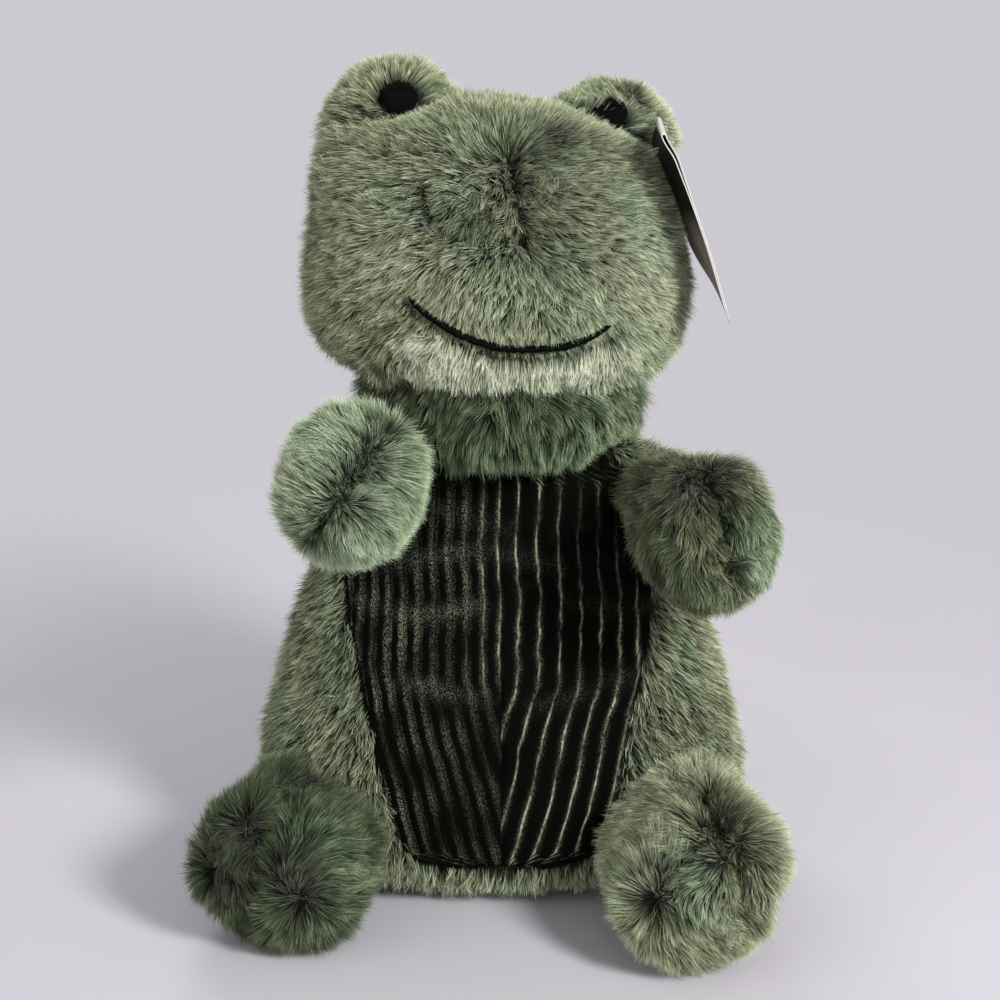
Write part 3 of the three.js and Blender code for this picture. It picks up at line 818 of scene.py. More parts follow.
for layer, count, length, seed, width in (
    ("face_fur", 135000, 9.8, 11, 0.34),
    ("face_underfur", 100000, 8.6, 14, 0.36),
):
    grow(layer, "head", head_form, count, length, face_comb, face_tone, face_keep, seed, width,
         fit_at=face_fit, lean_at=face_lean)
grow("head_back_fur", "head", head_form, 130000, 10.0, face_comb, face_tone, back_keep, 12, 0.5,
     fit_at=tag_fit)


def lip_keep(roots, normals):
    return is_lip(roots) & (depth_inside(neck_tree, roots) < MM)


def down_comb(roots, normals):
    return np.array([0.0, -0.1, -1.0]) + roots * np.array([3.0, 0.0, 0.0])


def lip_tone(roots, normals):
    x, _ = pictured(roots)
    ends = np.minimum(x - 405, 620 - x)
    return np.full(len(roots), 3.0), 0.56 + 0.2 * smooth_step(ends, 0, 50)


def lip_fit(roots):
    """The fringe ends along its level line."""
    _, y = pictured(roots)
    return 0.0035 + (LIP_END - y) * LIP_METRES_PER_PIXEL


grow("lip_fringe", "head", head_form, 420000, 10.0, down_comb, lip_tone, lip_keep, 13, 0.4,
     lean=0.9, bend=0.35, pull=0.4, rows=3, fit_at=lip_fit)


# Eyes
PUPIL_BARE = 0.0074
EYE_MARKS = {
    "left": [(575, 95, 8, -0.05), (600, 84, 8, 0.12), (640, 110, 8, 0.05)],
    "right": [(350, 120, 12, -0.06), (375, 75, 10, 0.08), (440, 85, 7, 0.15), (425, 100, 4, -0.3)],
}
EYE_WINDS = {
    "left": [(616, 96, 5, -0.3, -1.0), (632, 110, 5, -0.8, -0.8), (560, 95, 8, -0.9, 0.1)],
    "right": [(345, 130, 10, -0.6, 0.8), (435, 88, 7, 1.0, 0.3)],
}


def eye_fur(side, seed):
    spot = pupil_spots[side]
    marks = placed(head_form, EYE_MARKS[side])
    winds = placed(head_form, EYE_WINDS[side])

    def keep(roots, normals):
        clear = distances(roots, spot) > PUPIL_BARE
        if side == "left":
            # Pile grows over the upper and outer part of this pupil
            clear |= (roots[:, 0] - spot[0]) * 0.6 + (roots[:, 2] - spot[2]) * 0.8 > -0.0006
        return clear & in_eye(side, roots, MM)

    def comb(roots, normals):
        up = np.array([0, 0.3, 0.5])
        return blown(roots, unit(roots - spot) + up * 0.4, winds)

    def tone(roots, normals):
        family = np.where(waves(roots, 0.03, seed)[:, 0] > 0.3, 0.0, 1.0)
        return family, 0.6 + dabs(roots, marks)

    grow(f"{side}_eye_fur", "head", head_form, 420000, 9.0, comb, tone, keep, seed, 0.38,
         fit_at=tag_fit)


eye_fur("left", 21)
eye_fur("right", 22)


# Neck
NECK_FOOT = 0.1695


def neck_keep(roots, normals):
    return (depth_inside(head_tree, roots) < 0.004) & (roots[:, 2] > NECK_FOOT)


def neck_back(roots):
    """From 0 at the neck's front to 1 at its back."""
    return smooth_step(roots[:, 1], 0.0, 0.018)


def neck_tone(roots, normals):
    x, y, z = roots.T
    side = smooth_step(x, -0.02, 0.03)
    back = neck_back(roots)
    family = np.where(waves(roots, 0.03, 7)[:, 0] + side > 0.6, 2.0, 1.0)
    family = np.where(back > 0.5, 1.0, family)
    tuft = bell(x + 0.006, 0.004) * (z < 0.183) * (y < -0.02)
    # Painted shade: the neck's front starts from a low tone of 0.12 for the shade under the head. Painted
    # light: it rises by 0.3 towards the frog's left, where the lamp falls. The back takes the head's
    # tone.
    front = 0.12 + 0.3 * side + 0.35 * tuft + dabs(roots, neck_marks)
    return family, front * (1 - back) + 0.48 * back


def neck_fit(roots):
    """The pile hangs lowest in the middle of the chin, and covers the torso's top behind."""
    front = 0.0065 + 0.0085 * (1 - smooth_step(np.abs(roots[:, 0] + 0.004), 0.012, 0.048))
    back = neck_back(roots)
    return front * (1 - back) + 0.015 * back


def neck_comb(roots, normals):
    return blown(roots, down_comb(roots, normals), neck_winds)


neck_marks = placed(neck_form, [
    (545, 404, 3, -0.2), (575, 404, 3, -0.2), (520, 410, 3, -0.12), (600, 425, 9, 0.12),
])
neck_winds = placed(neck_form, [
    (560, 395, 9, 1.0, -0.5), (620, 410, 10, 1.0, -0.7), (460, 410, 9, -0.3, -1.0),
])
grow("neck_fur", "neck", neck_form, 66000, 14.5, neck_comb, neck_tone, neck_keep, 31, 0.4,
     lean=0.6, bend=0.7, clump=2.3, pull=0.7, fit_at=neck_fit)


# Torso
TORSO_TOP = 0.155
TORSO_FLAT_TOP = 0.16
TORSO_PILE_LIMIT = 0.02
TORSO_LEAST_PILE = 0.0035
panel_points = node_points("belly_panel")
panel_tree = tree_of(nodes["belly_panel"])


def under_panel(roots, normals):
    """Whether a root lies beneath the belly's cloth."""
    result = np.zeros(len(roots), dtype=bool)
    for index, (root, normal) in enumerate(zip(roots, normals)):
        if root[1] < 0.004:
            hit = panel_tree.ray_cast(Vector(root - normal * 0.004), Vector(normal), 0.016)
            result[index] = hit[0] is not None
    return result


def torso_keep(roots, normals):
    """No pile on the seat, under the belly's cloth or in front of the neck."""
    x, y, z = roots.T
    upright = normals[:, 2]
    top_corner = (z > TORSO_TOP) & (upright > 0.6) & (np.abs(x) > 0.026)
    kept = (upright > -0.9) & (top_corner | ~under_panel(roots, normals))
    flat_top = (z > TORSO_FLAT_TOP) & (upright > 0.7)
    beside = (y[flat_top] > -0.02) | (np.abs(x[flat_top]) > 0.022)
    kept[flat_top] = (depth_inside(neck_tree, roots[flat_top]) < 0.008) & beside
    return kept


def torso_fit(roots):
    """The pile is short on the torso's top, next to the neck and under it."""
    fit = np.full(len(roots), TORSO_PILE_LIMIT)
    top = roots[:, 2] > TORSO_TOP
    outside = -depth_inside(neck_tree, roots[top])
    fit[top] = np.clip(0.004 + outside, TORSO_LEAST_PILE, TORSO_PILE_LIMIT)
    return fit


def torso_comb(roots, normals):
    down = np.array([0.0, 0.0, -1.0])
    outward = unit(roots * np.array([1.0, 1.0, 0.0]))
    return down + 0.25 * outward


torso_marks = placed(torso_form, [
    (300, 660, 14, 0.08), (280, 720, 12, -0.05), (320, 700, 10, 0.05), (690, 660, 14, 0.12),
    (640, 760, 10, -0.1), (715, 720, 10, 0.05), (330, 600, 8, 0.1), (320, 745, 9, 0.12),
    (665, 720, 9, -0.1),
])


def torso_tone(roots, normals):
    x, y, z = roots.T
    side = smooth_step(x, -0.05, 0.05)
    hem = (1 - smooth_step(z, 0.002, 0.022)) * (y < 0)
    patch = waves(roots, 0.045, 9)
    family = np.where(patch[:, 1] > 0, 1.0, 0.0)
    family = np.where(patch[:, 0] > 1.1, 2.0, family)
    beside = bell(nearest_distance(panel_points, roots), 0.008) * (y < 0)
    mottle = waves(roots, 0.0036, 16)[:, 0] * 0.16
    # Painted light: the tone rises by 0.06 towards the frog's left, where the lamp falls.
    tone = 0.49 + mottle + 0.06 * side + 0.42 * hem + 0.1 * beside
    return family, tone + dabs(roots, torso_marks)


for layer, count, length, seed, width in (
    ("torso_fur", 100000, 10.0, 41, 0.48),
    ("torso_underfur", 80000, 8.8, 42, 0.5),
):
    grow(layer, "torso", torso_form, count, length, torso_comb, torso_tone, torso_keep, seed, width,
         fit_at=torso_fit)


# Limbs: the pile parts at a whorl or along a seam and lies outwards from it
LIMB_LOOKS = {
    "left_arm": {
        # Painted shade: the low tone of 0.26, lifted only on the outer lobe, and the dark dabs at (665,
        # 560) and (668, 505) stand for the shade on the paw's inner side.
        "family": 0.0, "tone": 0.26, "lean": 0.8, "open": 0.8,
        "parts": [[(664, 446), (684, 440), (712, 444), (722, 470)]],
        "marks": [(757, 540, 14, 0.38), (665, 560, 12, -0.3), (668, 505, 12, -0.22),
                  (700, 470, 6, 0.1), (735, 470, 10, 0.2)],
        "green": (757, 530, 16),
        "winds": [(672, 478, 9, 0.1, -1.0), (665, 510, 11, -0.1, -1.0), (700, 555, 11, 0.15, -1.0),
                  (672, 565, 11, -0.05, -1.0), (745, 478, 10, 0.9, -0.4), (757, 540, 11, 0.5, -0.9),
                  (745, 595, 10, 0.1, -1.0)],
        "trims": [(622, 500, 14, -7.0), (628, 455, 12, -6.0), (640, 560, 10, -3.5),
                  (792, 550, 13, -3.5)],
    },
    "right_arm": {
        "family": 2.0, "tone": 0.73, "lean": 0.4, "open": 1.35,
        "parts": [[(401, 413), (358, 470), (315, 534)]],
        "marks": [(395, 470, 9, -0.16), (383, 505, 9, -0.22), (325, 490, 6, -0.16),
                  (372, 560, 8, 0.06), (350, 420, 12, 0.08), (375, 462, 4, 0.2),
                  (352, 488, 4, 0.2), (334, 520, 4, 0.16)],
        "green": (395, 500, 14),
        "winds": [(385, 520, 8, 0.6, -0.8)],
        "trims": [],
    },
    "left_leg": {
        "family": 0.0, "tone": 0.58, "lean": 0.45, "open": 0.7,
        "parts": [[(657, 898)], [(708, 806), (730, 846)]],
        # Painted shade: the dark dab at (724, 835) sits in the valley between the toes.
        "marks": [(724, 835, 5, -0.4), (660, 902, 5, -0.15), (640, 805, 9, -0.16),
                  (700, 900, 10, 0.06), (760, 900, 10, 0.06), (770, 830, 10, -0.02),
                  (650, 940, 9, -0.02), (612, 850, 6, 0.12), (680, 850, 12, 0.1)],
        "green": (690, 880, 12),
        "winds": [(665, 800, 12, 0.0, -1.0), (700, 880, 8, -0.5, -0.9), (630, 840, 9, -0.4, -0.9)],
        "trims": [(700, 968, 10, -3.0)],
    },
    "right_leg": {
        # Painted shade: the lowest tone of 0.03 stands for the shade over this foot, and the dark dab at
        # (256, 850) for the shade in its toes' valley.
        "family": 1.0, "tone": 0.03, "lean": 0.45, "open": 0.7,
        "parts": [[(301, 899)], [(216, 868)]],
        "marks": [(256, 850, 8, -0.25), (378, 825, 13, 0.28), (340, 930, 10, 0.1),
                  (215, 800, 10, -0.05), (300, 770, 12, 0.05), (300, 925, 8, 0.06)],
        "green": (345, 800, 12),
        "winds": [(300, 800, 12, 0.5, -0.9), (370, 840, 12, 0.9, -0.2), (240, 800, 12, -0.3, -1.0)],
        "trims": [],
    },
}
LIMB_PILE = 11.5


def limb_fur(name, seed):
    looks = LIMB_LOOKS[name]
    form = limb_forms[name]
    tree = tree_of(form)
    pivot = np.array(joints[name]["pos_m"])
    points, _ = surface_arrays(form.data)
    far = points[np.argsort(-distances(points, pivot))[:400]].mean(axis=0)
    axis = unit(far - pivot)
    reach = np.linalg.norm(far - pivot)
    green = placed(form, [(*looks["green"], 1.0)])
    marks, winds, trims = (placed(form, looks[word]) for word in ("marks", "winds", "trims"))
    starts = np.concatenate([seen_line(tree, spots) for spots in looks["parts"]])

    def nearest_start(roots):
        away = np.linalg.norm(roots[:, None, :] - starts[None, :, :], axis=2)
        return starts[away.argmin(axis=1)], away.min(axis=1)

    def keep(roots, normals):
        along = (roots - pivot) @ axis / reach
        return along > 0.12

    def comb(roots, normals):
        start, away = nearest_start(roots)
        over = smooth_step((roots - pivot) @ axis / reach, 0.35, 0.8)[:, None]
        combs = unit(roots - start) * over + (-axis * 0.6 + np.array([0, 0, -0.6])) * (1 - over)
        return blown(roots, combs, winds)

    def lean_at(roots):
        return looks["open"] + (1 - looks["open"]) * smooth_step(nearest_start(roots)[1], 0.002, 0.012)

    def fit_at(roots):
        return (LIMB_PILE * 1.15 + dabs(roots, trims)) * MM

    def tone(roots, normals):
        family = np.where(waves(roots, 0.03, seed)[:, 0] > 0.7, 1.0, looks["family"])
        family = np.where(dabs(roots, green) > 0.45, 2.0, family)
        return family, looks["tone"] + dabs(roots, marks)

    grow(f"{name}_fur", name, form, 66000, LIMB_PILE, comb, tone, keep, seed, 0.34,
         lean=looks["lean"], bend=0.7, pull=0.5, fit_at=fit_at, lean_at=lean_at)


for seed, name in enumerate(limb_names, 51):
    limb_fur(name, seed)


# Belly panel: wide wales over the torso's front, drawn together into a dart below the middle
WALE_LEFT = 0.0060
WALE_RIGHT = 0.0077
DART_TOP = 0.089
DART_FOOT = 0.020
DART_SHIFT = 0.018
CRUMPLES = ((0.142, 0.7), (0.129, 0.6), (0.114, 1.0), (0.083, 0.7))
CRUMPLE_WIDTH = 0.003
SEAM_WIDTH = 0.0012
RIDGE_HEIGHT = 0.0016
CRUMPLE_DEPTH = 0.0015
SEAM_DEPTH = 0.001
CLOTH_LIFT = 0.0004
CLOTH_THICK = 0.0016
PANEL_STATIONS = 34
PANEL_EDGE = 0.0004


def panel_edges(stations):
    """The panel's reach to both sides at some heights, by rays from the sides."""
    reach = []
    for height in stations:
        pair = []
        for side in (-1, 1):
            best = 0.0
            for depth in np.linspace(-0.054, -0.004, 26):
                hit = panel_tree.ray_cast(Vector((side * 0.2, depth, height)), Vector((-side, 0, 0)))
                if hit[0] is not None:
                    best = max(best, abs(hit[0].x))
            pair.append(best)
        reach.append(pair)
    return np.array(reach)


def panel_sheet(columns, rows):
    """A grid of points over the front of the panel's solid."""
    low, high = box_of("belly_panel")
    stations = np.linspace(low[2] + PANEL_EDGE, high[2] - PANEL_EDGE, PANEL_STATIONS)
    reach = panel_edges(stations)
    grid = np.empty((rows + 1, columns + 1, 3))
    for row in range(rows + 1):
        height = stations[0] + (stations[-1] - stations[0]) * row / rows
        left = np.interp(height, stations, reach[:, 0])
        right = np.interp(height, stations, reach[:, 1])
        across = np.linspace(-left, right, columns + 1)
        depths = []
        for x in across:
            hit = panel_tree.ray_cast(Vector((x * 0.9985, -0.3, height)), Vector((0, 1, 0)))
            depths.append(np.nan if hit[0] is None else hit[0].y)
        depths = np.array(depths)
        known = ~np.isnan(depths)
        if known.any():
            depths = np.interp(across, across[known], depths[known])
        else:
            depths = grid[row - 1, :, 1]
        grid[row, :, 0] = across
        grid[row, :, 1] = depths
        grid[row, :, 2] = height
    depth = grid[:, :, 1]
    for _ in range(40):
        around = depth[:-2, 1:-1] + depth[2:, 1:-1] + depth[1:-1, :-2] + depth[1:-1, 2:]
        depth[1:-1, 1:-1] = around / 4
    return grid


def grid_faces(index):
    """Squares between the numbered points of a grid."""
    corners = [index[:-1, :-1], index[:-1, 1:], index[1:, 1:], index[1:, :-1]]
    return np.stack(corners, axis=-1).reshape(-1, 4)


def store(mesh, name, domain, values):
    mesh.attributes.new(name, "FLOAT", domain).data.foreach_set("value", values)


def build_panel():
    """The cloth with its wales, crumples and dart, and where painted highlights and painted shadow lie on
    it.
    """
    columns = 560
    rows = 82
    grid = panel_sheet(columns, rows)
    x = grid[:, :, 0]
    z = grid[:, :, 2]
    steps = np.linalg.norm(np.diff(grid[:, :, :2], axis=1), axis=2)
    arc = np.concatenate([np.zeros((rows + 1, 1)), np.cumsum(steps, axis=1)], axis=1)
    middle = np.argmin(np.abs(x), axis=1)
    arc = arc - arc[np.arange(rows + 1), middle][:, None]
    drop = np.clip((DART_TOP - z) / (DART_TOP - DART_FOOT), 0, 1)
    crumple = sum(
        strength * bell(z - height + 0.004 * np.sin(x * 70 + height * 90), CRUMPLE_WIDTH)
        for height, strength in CRUMPLES
    )
    noise = waves(grid.reshape(-1, 3), 0.022, 77).reshape(rows + 1, columns + 1, 3)
    wobble = 0.05 * np.sin(z * 190 + 1.5) + 0.05 * np.sin(z * 95 + 1) + 0.05 * crumple * noise[:, :, 0]
    wobble = wobble + 0.04 * np.sin(z * 400 + 4 * np.sin(z * 60) + 2 * noise[:, :, 2])
    right = arc > 0
    wale = np.where(right, WALE_RIGHT, WALE_LEFT)
    phase = (arc + np.where(right, 1, -1) * drop * DART_SHIFT) / wale + wobble + np.where(right, 0.2, 0.1)
    ridge = np.abs(np.sin(math.pi * phase)) ** 0.6
    seam = bell(arc, SEAM_WIDTH) * (drop > 0)
    squeeze = 0.5 + 0.5 * np.clip(noise[:, :, 1], -1, 1)
    lift = RIDGE_HEIGHT * ridge - CRUMPLE_DEPTH * crumple * squeeze - SEAM_DEPTH * seam + CLOTH_LIFT
    grid[:, :, 1] -= lift
    faces = grid_faces(np.arange(x.size).reshape(x.shape))
    mesh = smooth_mesh("belly_cloth", grid.reshape(-1, 3).tolist(), faces.tolist())
    off_groove = np.abs(phase - np.round(phase)) * wale
    beside_dart = (arc < 0) * (1 - smooth_step(z, DART_TOP - 0.008, DART_TOP + 0.004))
    to_left = np.maximum(1 - smooth_step(x, -0.016, 0.002), beside_dart)
    uneven = np.clip(0.65 + 0.5 * noise[:, :, 2], 0.1, 1.2)
    far_left = 1 - smooth_step(x, -0.04, -0.022)
    # Painted highlights: flecks beside the groove lines on the right half, flecked bands on the wales'
    # flanks over the left half and lighter flecks along the crumples, where the pile faces the lamp.
    beside_line = 0.6 * bell(off_groove, 0.0011) * (1 - to_left)
    in_band = (0.36 + 0.44 * far_left) * (1 - smooth_step(off_groove, 0.0011, 0.0021)) * to_left
    painted_pile_highlights = (beside_line + in_band) * uneven + 0.5 * (crumple * squeeze) * (0.4 + 0.6 * to_left)
    # Painted shadow: the flecks and lines fade in the panel's upper right, where the arm's shadow falls.
    shade = 1 - 0.75 * smooth_step(x, 0.016, 0.03) * smooth_step(z, 0.10, 0.125)
    broken = np.clip(0.6 + 0.7 * noise[:, :, 0], 0.15, 1)
    # The thin pale lines are the backing seen in the grooves, but they are drawn only on the right half,
    # where the lamp lights into the grooves: partly painted light.
    line = bell(off_groove, 0.0003) * (1 - 0.95 * to_left) * broken
    store(mesh, "painted_pile_highlights", "POINT", (painted_pile_highlights * shade).ravel())
    store(mesh, "line", "POINT", (line * shade).ravel())
    obj = place("belly_cloth", mesh)
    solid = obj.modifiers.new("thickness", "SOLIDIFY")
    solid.thickness = CLOTH_THICK
    solid.offset = -1
    apply_modifiers(obj)
    return obj


def corduroy_material():
    """Dark velvet wales with light flecks of painted highlight, and thin light lines in the grooves that
    are partly painted light.
    """
    shader = Shader("belly_corduroy", 0.9, 0.04)
    grain = shader.ramp(shader.noise(2000.0, 2.0), fade(0.47, 0.66))
    some = shader.mix("MULTIPLY", 1.0, grain, shader.attribute("painted_pile_highlights"))
    cloth = shader.mix("MIX", some, srgb(5, 7, 4), srgb(150, 154, 130))
    broken = shader.ramp(shader.noise(500.0, 3.0), fade(0.34, 0.62, 0.15))
    thin = shader.mix("MULTIPLY", 1.0, broken, shader.attribute("line"))
    shader.colour(shader.mix("MIX", thin, cloth, srgb(206, 208, 176)))
    shader.bump(shader.noise(2200.0, 2.0), 0.0004, 0.7)
    return shader.material


belly = build_panel()
stand_for(belly, "torso", "corduroy", corduroy_material(), "belly_panel")


# Embroidery
def thread_material(name, colour):
    shader = Shader(name, 0.9, 0.06)
    streak = shader.noise(700.0, 2.0)
    shader.colour(shader.mix("MIX", streak, darker(colour, 0.5), colour))
    shader.bump(streak, 0.0002, 0.6)
    return shader.material


black_thread = thread_material("black_thread", srgb(12, 13, 12))
THREAD_SIDES = 5


def sew(name, stitches, radius, node):
    """Stitches of black thread as one piece, each a closed tube, in place of a node."""
    points = []
    faces = []
    for stitch in stitches:
        stitch = np.asarray(stitch)
        start = len(points)
        for spot, way in zip(stitch, unit(np.gradient(stitch, axis=0))):
            side = Vector(way).orthogonal().normalized()
            other = Vector(way).cross(side)
            for turn in range(THREAD_SIDES):
                angle = 2 * math.pi * turn / THREAD_SIDES
                round_it = side * math.cos(angle) + other * math.sin(angle)
                points.append(Vector(spot) + round_it * radius)
        rings = np.arange(start, len(points)).reshape(-1, THREAD_SIDES)
        faces.extend(grid_faces(np.hstack([rings, rings[:, :1]])).tolist())
        faces.extend([rings[0, ::-1].tolist(), rings[-1].tolist()])
    obj = place(name, smooth_mesh(name, points, faces))
    stand_for(obj, "head", "black_thread", black_thread, node)


MOUTH_STITCHES = 260
MOUTH_HALF = 0.0011
MOUTH_SLANT = 0.0009
MOUTH_ARCH = 0.0012
MOUTH_THREAD = 0.0003


def sew_mouth():
    """Satin stitches that slant across the mouth's line, narrower towards its corners."""
    fine = np.linspace(0, len(mouth) - 1, MOUTH_STITCHES)
    turns = np.arange(len(mouth))
    line = np.stack([np.interp(fine, turns, mouth[:, axis]) for axis in range(3)], axis=1)
    rng = np.random.default_rng(61)
    stitches = []
    for index in range(1, len(line) - 1):
        along = unit(line[index + 1] - line[index - 1])
        outward = np.array(head_tree.find_nearest(Vector(line[index]))[1])
        across = np.cross(along, outward)
        end = min(index, MOUTH_STITCHES - index) / MOUTH_STITCHES
        half = MOUTH_HALF * (0.55 + 0.45 * min(end / 0.12, 1)) * rng.uniform(0.72, 1.3)
        stitch = []
        for share in np.linspace(-1, 1, 7):
            spot = line[index] + across * share * half + along * share * MOUTH_SLANT
            rise = MOUTH_ARCH * math.cos(share * math.pi / 2) + 0.0002
            stitch.append(spot + outward * rise)
        stitches.append(stitch)
    sew("mouth_embroidery", stitches, MOUTH_THREAD, "mouth_stitch")


PUPIL_RADIUS = 0.0062
PUPIL_STITCHES = 40
PUPIL_ARCH = 0.0007
PUPIL_SINK = 0.001
PUPIL_THREAD = 0.00026
PAD_RADIUS = 0.021


def sew_pupil(side):
    """An oval of satin stitches over a low pad."""
    spot = pupil_spots[side]
    outward = unit(spot - eye_centres[side])
    rise = np.array([0.0, 0.0, 1.0])
    rise = unit(rise - outward * rise.dot(outward))
    across = np.cross(rise, outward)
    top = (node_points(f"{side}_pupil") @ outward).max()
    rng = np.random.default_rng(62)
    stitches = []
    for index in range(PUPIL_STITCHES + 1):
        offset = (2 * index / PUPIL_STITCHES - 1) * PUPIL_RADIUS * 0.985
        half = math.sqrt(max(PUPIL_RADIUS ** 2 - offset ** 2, 1e-9)) * rng.uniform(0.88, 1.12)
        stitch = []
        for share in np.linspace(-1, 1, 11):
            flat = across * offset + rise * half * share
            fall = (offset ** 2 + (half * share) ** 2) / (2 * PAD_RADIUS)
            base = spot - outward * spot.dot(outward) + outward * (top - PUPIL_SINK - fall)
            stitch.append(base + flat + outward * PUPIL_ARCH * (1 - share ** 2))
        stitches.append(stitch)
    sew(f"{side}_pupil_embroidery", stitches, PUPIL_THREAD, f"{side}_pupil")


sew_mouth()
sew_pupil("left")
sew_pupil("right")


# The nodes that stay, with their materials
def give(node, material):
    for slot in nodes[node].material_slots:
        slot.material = material


plastic = Shader("tag_plastic", 0.15, 0.4)
cloudy = [(0.3, srgb(226, 228, 224)), (0.7, srgb(240, 241, 238))]
plastic.colour(plastic.ramp(plastic.noise(300.0, 2.0), cloudy))
plastic.surface.inputs["Transmission Weight"].default_value = 0.95
plastic.surface.inputs["IOR"].default_value = 1.2
give("tag_fastener", plastic.material)
give("closing_stitch", thread_material("green_thread", srgb(70, 78, 62)))


# Tag: one folded card whose front edge springs outwards, plain on both sides
CARD_THICK = 0.0004
CARD_GAP = 0.0007
CARD_TWIST = math.radians(13)
CARD_SINK = 0.005
CARD_CORNER = 0.005
CARD_BEND_LINE = 0.016
CARD_COLUMNS = 18
LEAF_ROWS = 40


def card_axes():
    """The card's outward, widthwise and upward ways, from its hinge and its own points."""
    outward = unit(np.array(joints["tag"]["axis"]))
    points = node_points("hang_tag")
    flat = points - points.mean(axis=0)
    flat = flat - (flat @ outward)[:, None] * outward
    _, _, ways = np.linalg.svd(flat, full_matrices=False)
    rise = ways[0] if ways[0][2] > 0 else -ways[0]
    return outward, np.cross(rise, outward), rise


def card_middle():
    """The card's middle as a grid, down one leaf, round the fold and up the other."""
    outward, across, rise = card_axes()
    pivot = np.array(joints["tag"]["pos_m"])
    points = node_points("hang_tag") - pivot
    heights = points @ rise
    widths = points @ across
    top = heights.max() - CARD_GAP
    length = top - heights.min()
    outer = (points @ outward).max()
    profile = []
    for share in np.linspace(1, 0, LEAF_ROWS):
        spread = CARD_GAP * (1 - 0.66 * smooth_step(share, 0.04, 0.4))
        profile.append((share, -spread, 0.0))
    for turn in np.linspace(0, math.pi, 9)[1:-1]:
        profile.append((0.0, -CARD_GAP * math.cos(turn), CARD_GAP * math.sin(turn)))
    profile += [(share, -offset, above) for share, offset, above in profile[:LEAF_ROWS][::-1]]
    middle = np.empty((len(profile), CARD_COLUMNS + 1, 3))
    for row, (share, offset, above) in enumerate(profile):
        drop = top - share * length + above
        corner = max(0.0, CARD_CORNER - (1 - share) * length)
        inset = CARD_CORNER - math.sqrt(CARD_CORNER ** 2 - corner ** 2)
        turn = CARD_TWIST * smooth_step(share, 0.0, 0.14) * (1 - smooth_step(share, 0.5, 1.02))
        stops = np.linspace(widths.min() + inset, widths.max() - inset, CARD_COLUMNS + 1)
        for column, stop in enumerate(stops):
            bent = (stop + CARD_BEND_LINE) * math.sin(turn)
            bow = -CARD_SINK * math.tanh(bent / CARD_SINK)
            point = pivot + outward * (outer - CARD_GAP + offset + bow) + rise * drop
            middle[row, column] = point + across * stop * math.cos(turn)
    return middle, [share for share, _, _ in profile]


def card_piece():
    """The card with its thickness, and which faces are dark."""
    middle, shares = card_middle()
    along, sideways = np.gradient(middle, axis=(0, 1))
    normals = unit(np.cross(sideways, along))
    skins = [middle - normals * side * CARD_THICK / 2 for side in (1, -1)]
    index = np.arange(middle[:, :, 0].size).reshape(middle.shape[:2])
    squares = grid_faces(index)[:, [0, 3, 2, 1]].reshape(-1, CARD_COLUMNS, 4)
    faces = []
    dark = []
    for row, row_squares in enumerate(squares):
        for square in row_squares:
            faces += [square, square[::-1] + index.size]
            # Painted shade: faces marked 1 take the dark side's colour in full and the other skin takes
            # it at 0.35; the edges stay pale.
            dark += [1.0 if row < LEAF_ROWS - 2 else 0.0, 0.35]
    border = [*index[0, :], *index[1:, -1], *index[-1, -2::-1], *index[-2:0:-1, 0]]
    for first, second in zip(border, border[1:] + border[:1]):
        faces.append([first, second, second + index.size, first + index.size])
        dark.append(0.0)
    points = np.concatenate([skin.reshape(-1, 3) for skin in skins])
    mesh = smooth_mesh("tag_card", points.tolist(), faces)
    store(mesh, "dark", "FACE", dark)
    store(mesh, "low", "POINT", np.tile(np.repeat(shares, CARD_COLUMNS + 1), 2))
    store(mesh, "across", "POINT", np.tile(np.linspace(0, 1, CARD_COLUMNS + 1), 2 * len(shares)))
    return place("tag_card", mesh)


def card_material():
    """Pale card, with painted shade on its side towards the head: dark at the top and lighter brown-grey
    streaks lower down.
    """
    shader = Shader("tag_card", 0.5, 0.3)
    fibres = shader.noise(1200.0, 3.0)
    pale = shader.ramp(fibres, [(0.3, srgb(207, 205, 199)), (0.7, srgb(223, 222, 216))])
    streaks = shader.add("ShaderNodeTexNoise", noise_dimensions="1D", Scale=40.0, Detail=2.0)
    shader.link(shader.attribute("across"), streaks.inputs["W"])
    painted_shade_streaks = shader.ramp(streaks.outputs["Fac"], [(0.4, srgb(78, 74, 66)), (0.6, srgb(172, 164, 154))])
    side = shader.mix("MIX", shader.ramp(shader.attribute("low"), fade(0.4, 0.6)), srgb(14, 14, 12), painted_shade_streaks)
    shader.colour(shader.mix("MIX", shader.attribute("dark"), pale, side))
    shader.bump(fibres, 0.0001, 0.3)
    return shader.material


stand_for(card_piece(), "tag", "card", card_material(), "hang_tag")


# Floor, backdrop and light
BACKGROUND = srgb(205, 201, 208)
STAGE_HALF = 3.0
WALL_STARTS = 0.7
WALL_RADIUS = 0.5
WALL_STEPS = 16


def stage_mesh():
    """A floor that rises behind the object in one soft curve."""
    profile = [(-STAGE_HALF, 0.0), (WALL_STARTS, 0.0)]
    for step in range(1, WALL_STEPS + 1):
        angle = math.radians(90) * step / WALL_STEPS
        back = WALL_STARTS + WALL_RADIUS * math.sin(angle)
        profile.append((back, WALL_RADIUS * (1 - math.cos(angle))))
    profile.append((WALL_STARTS + WALL_RADIUS, STAGE_HALF))
    points = [(x, y, z) for y, z in profile for x in (-STAGE_HALF, STAGE_HALF)]
    index = np.arange(len(points)).reshape(-1, 2)
    return smooth_mesh("floor", points, grid_faces(index).tolist())


def backdrop_rays(tree):
    """1 for the rays of the camera, of glass and of gloss, which see the plain backdrop."""
    path = tree.nodes.new("ShaderNodeLightPath")
    shown = path.outputs["Is Camera Ray"]
    for kind in ("Is Transmission Ray", "Is Glossy Ray"):
        either = tree.nodes.new("ShaderNodeMath")
        either.use_clamp = True
        tree.links.new(shown, either.inputs[0])
        tree.links.new(path.outputs[kind], either.inputs[1])
        shown = either.outputs["Value"]
    return shown


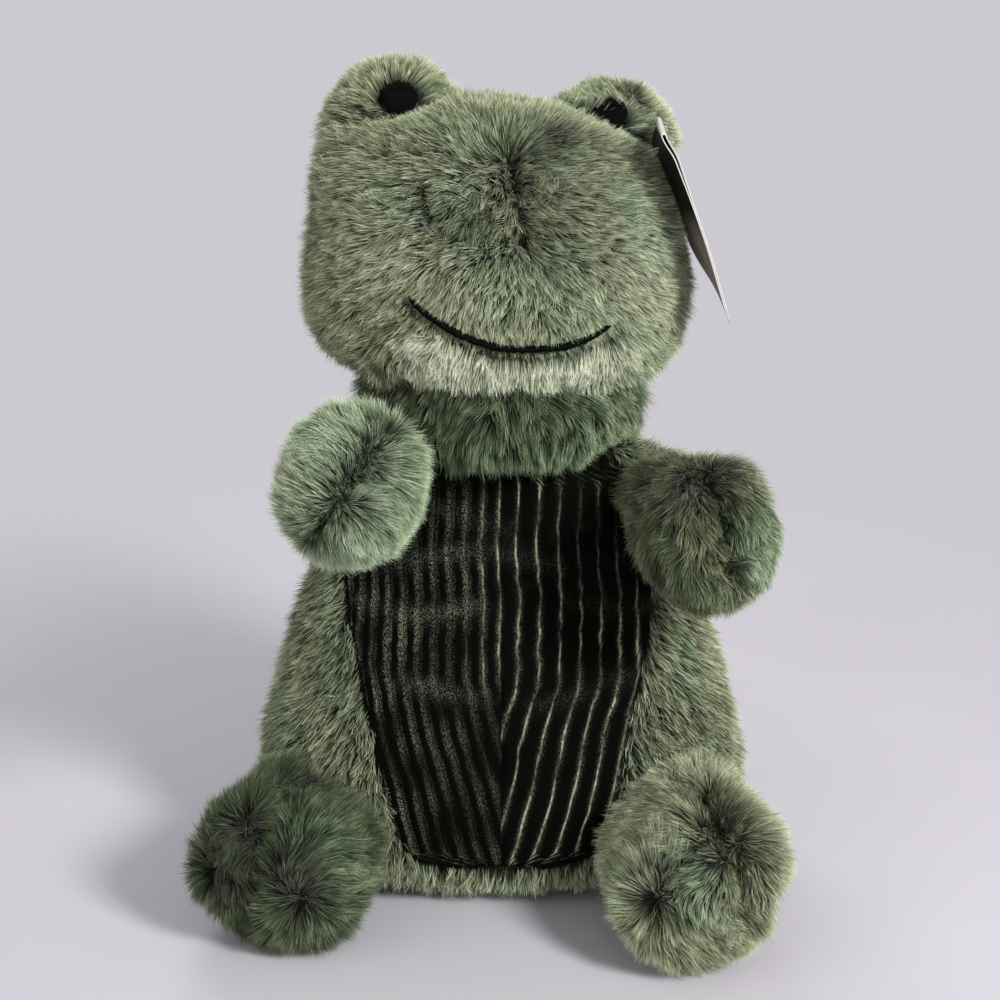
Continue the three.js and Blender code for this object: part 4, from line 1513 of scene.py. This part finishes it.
def stage_material():
    """A pale surface that keeps the shadow near the object and stays even further off."""
    shader = Shader("pale_floor", 0.8, 0.1)
    pale = [(0.3, srgb(206, 202, 209)), (0.7, srgb(211, 207, 214))]
    shader.colour(shader.ramp(shader.noise(6.0), pale))
    coordinates = shader.add("ShaderNodeTexCoord")
    length = shader.add("ShaderNodeVectorMath", operation="LENGTH")
    shader.link(coordinates.outputs["Object"], length.inputs[0])
    far = shader.ramp(length.outputs["Value"], fade(0.22, 0.62), "EASE")
    glow = shader.add("ShaderNodeEmission", Color=BACKGROUND)
    blend = shader.add("ShaderNodeMixShader")
    shader.link(shader.mix("MULTIPLY", 1.0, far, backdrop_rays(shader.tree)), blend.inputs[0])
    shader.link(shader.surface.outputs["BSDF"], blend.inputs[1])
    shader.link(glow.outputs["Emission"], blend.inputs[2])
    output = next(node for node in shader.tree.nodes if node.type == "OUTPUT_MATERIAL")
    shader.link(blend.outputs["Shader"], output.inputs["Surface"])
    return shader.material


floor = place("floor", stage_mesh())
floor.data.materials.append(stage_material())

LIT_POINT = Vector((0, 0, 0.15))
for name, spot, size, power in (
    ("key", (0.78, -0.9, 0.85), 0.35, 18),
    ("fill", (-0.95, -0.7, 0.5), 0.9, 2.5),
    ("rim", (-0.3, 0.9, 0.9), 0.7, 5),
):
    light = bpy.data.lights.new(name, "AREA")
    light.shape = "DISK"
    light.size = size
    light.energy = power
    lamp = place(name, light)
    lamp.location = spot
    lamp.rotation_euler = (LIT_POINT - Vector(spot)).to_track_quat("-Z", "Y").to_euler()

world = bpy.data.worlds.new("world")
world.use_nodes = True
bpy.context.scene.world = world
background = world.node_tree.nodes["Background"]
mix = world.node_tree.nodes.new("ShaderNodeMix")
mix.data_type = "RGBA"
mix.inputs[6].default_value = (0.38, 0.38, 0.39, 1)
mix.inputs[7].default_value = BACKGROUND
world.node_tree.links.new(backdrop_rays(world.node_tree), mix.inputs[0])
world.node_tree.links.new(mix.outputs[2], background.inputs["Color"])
background.inputs["Strength"].default_value = 1.0

bpy.context.scene.view_settings.view_transform = "Standard"

bpy.context.view_layer.update()
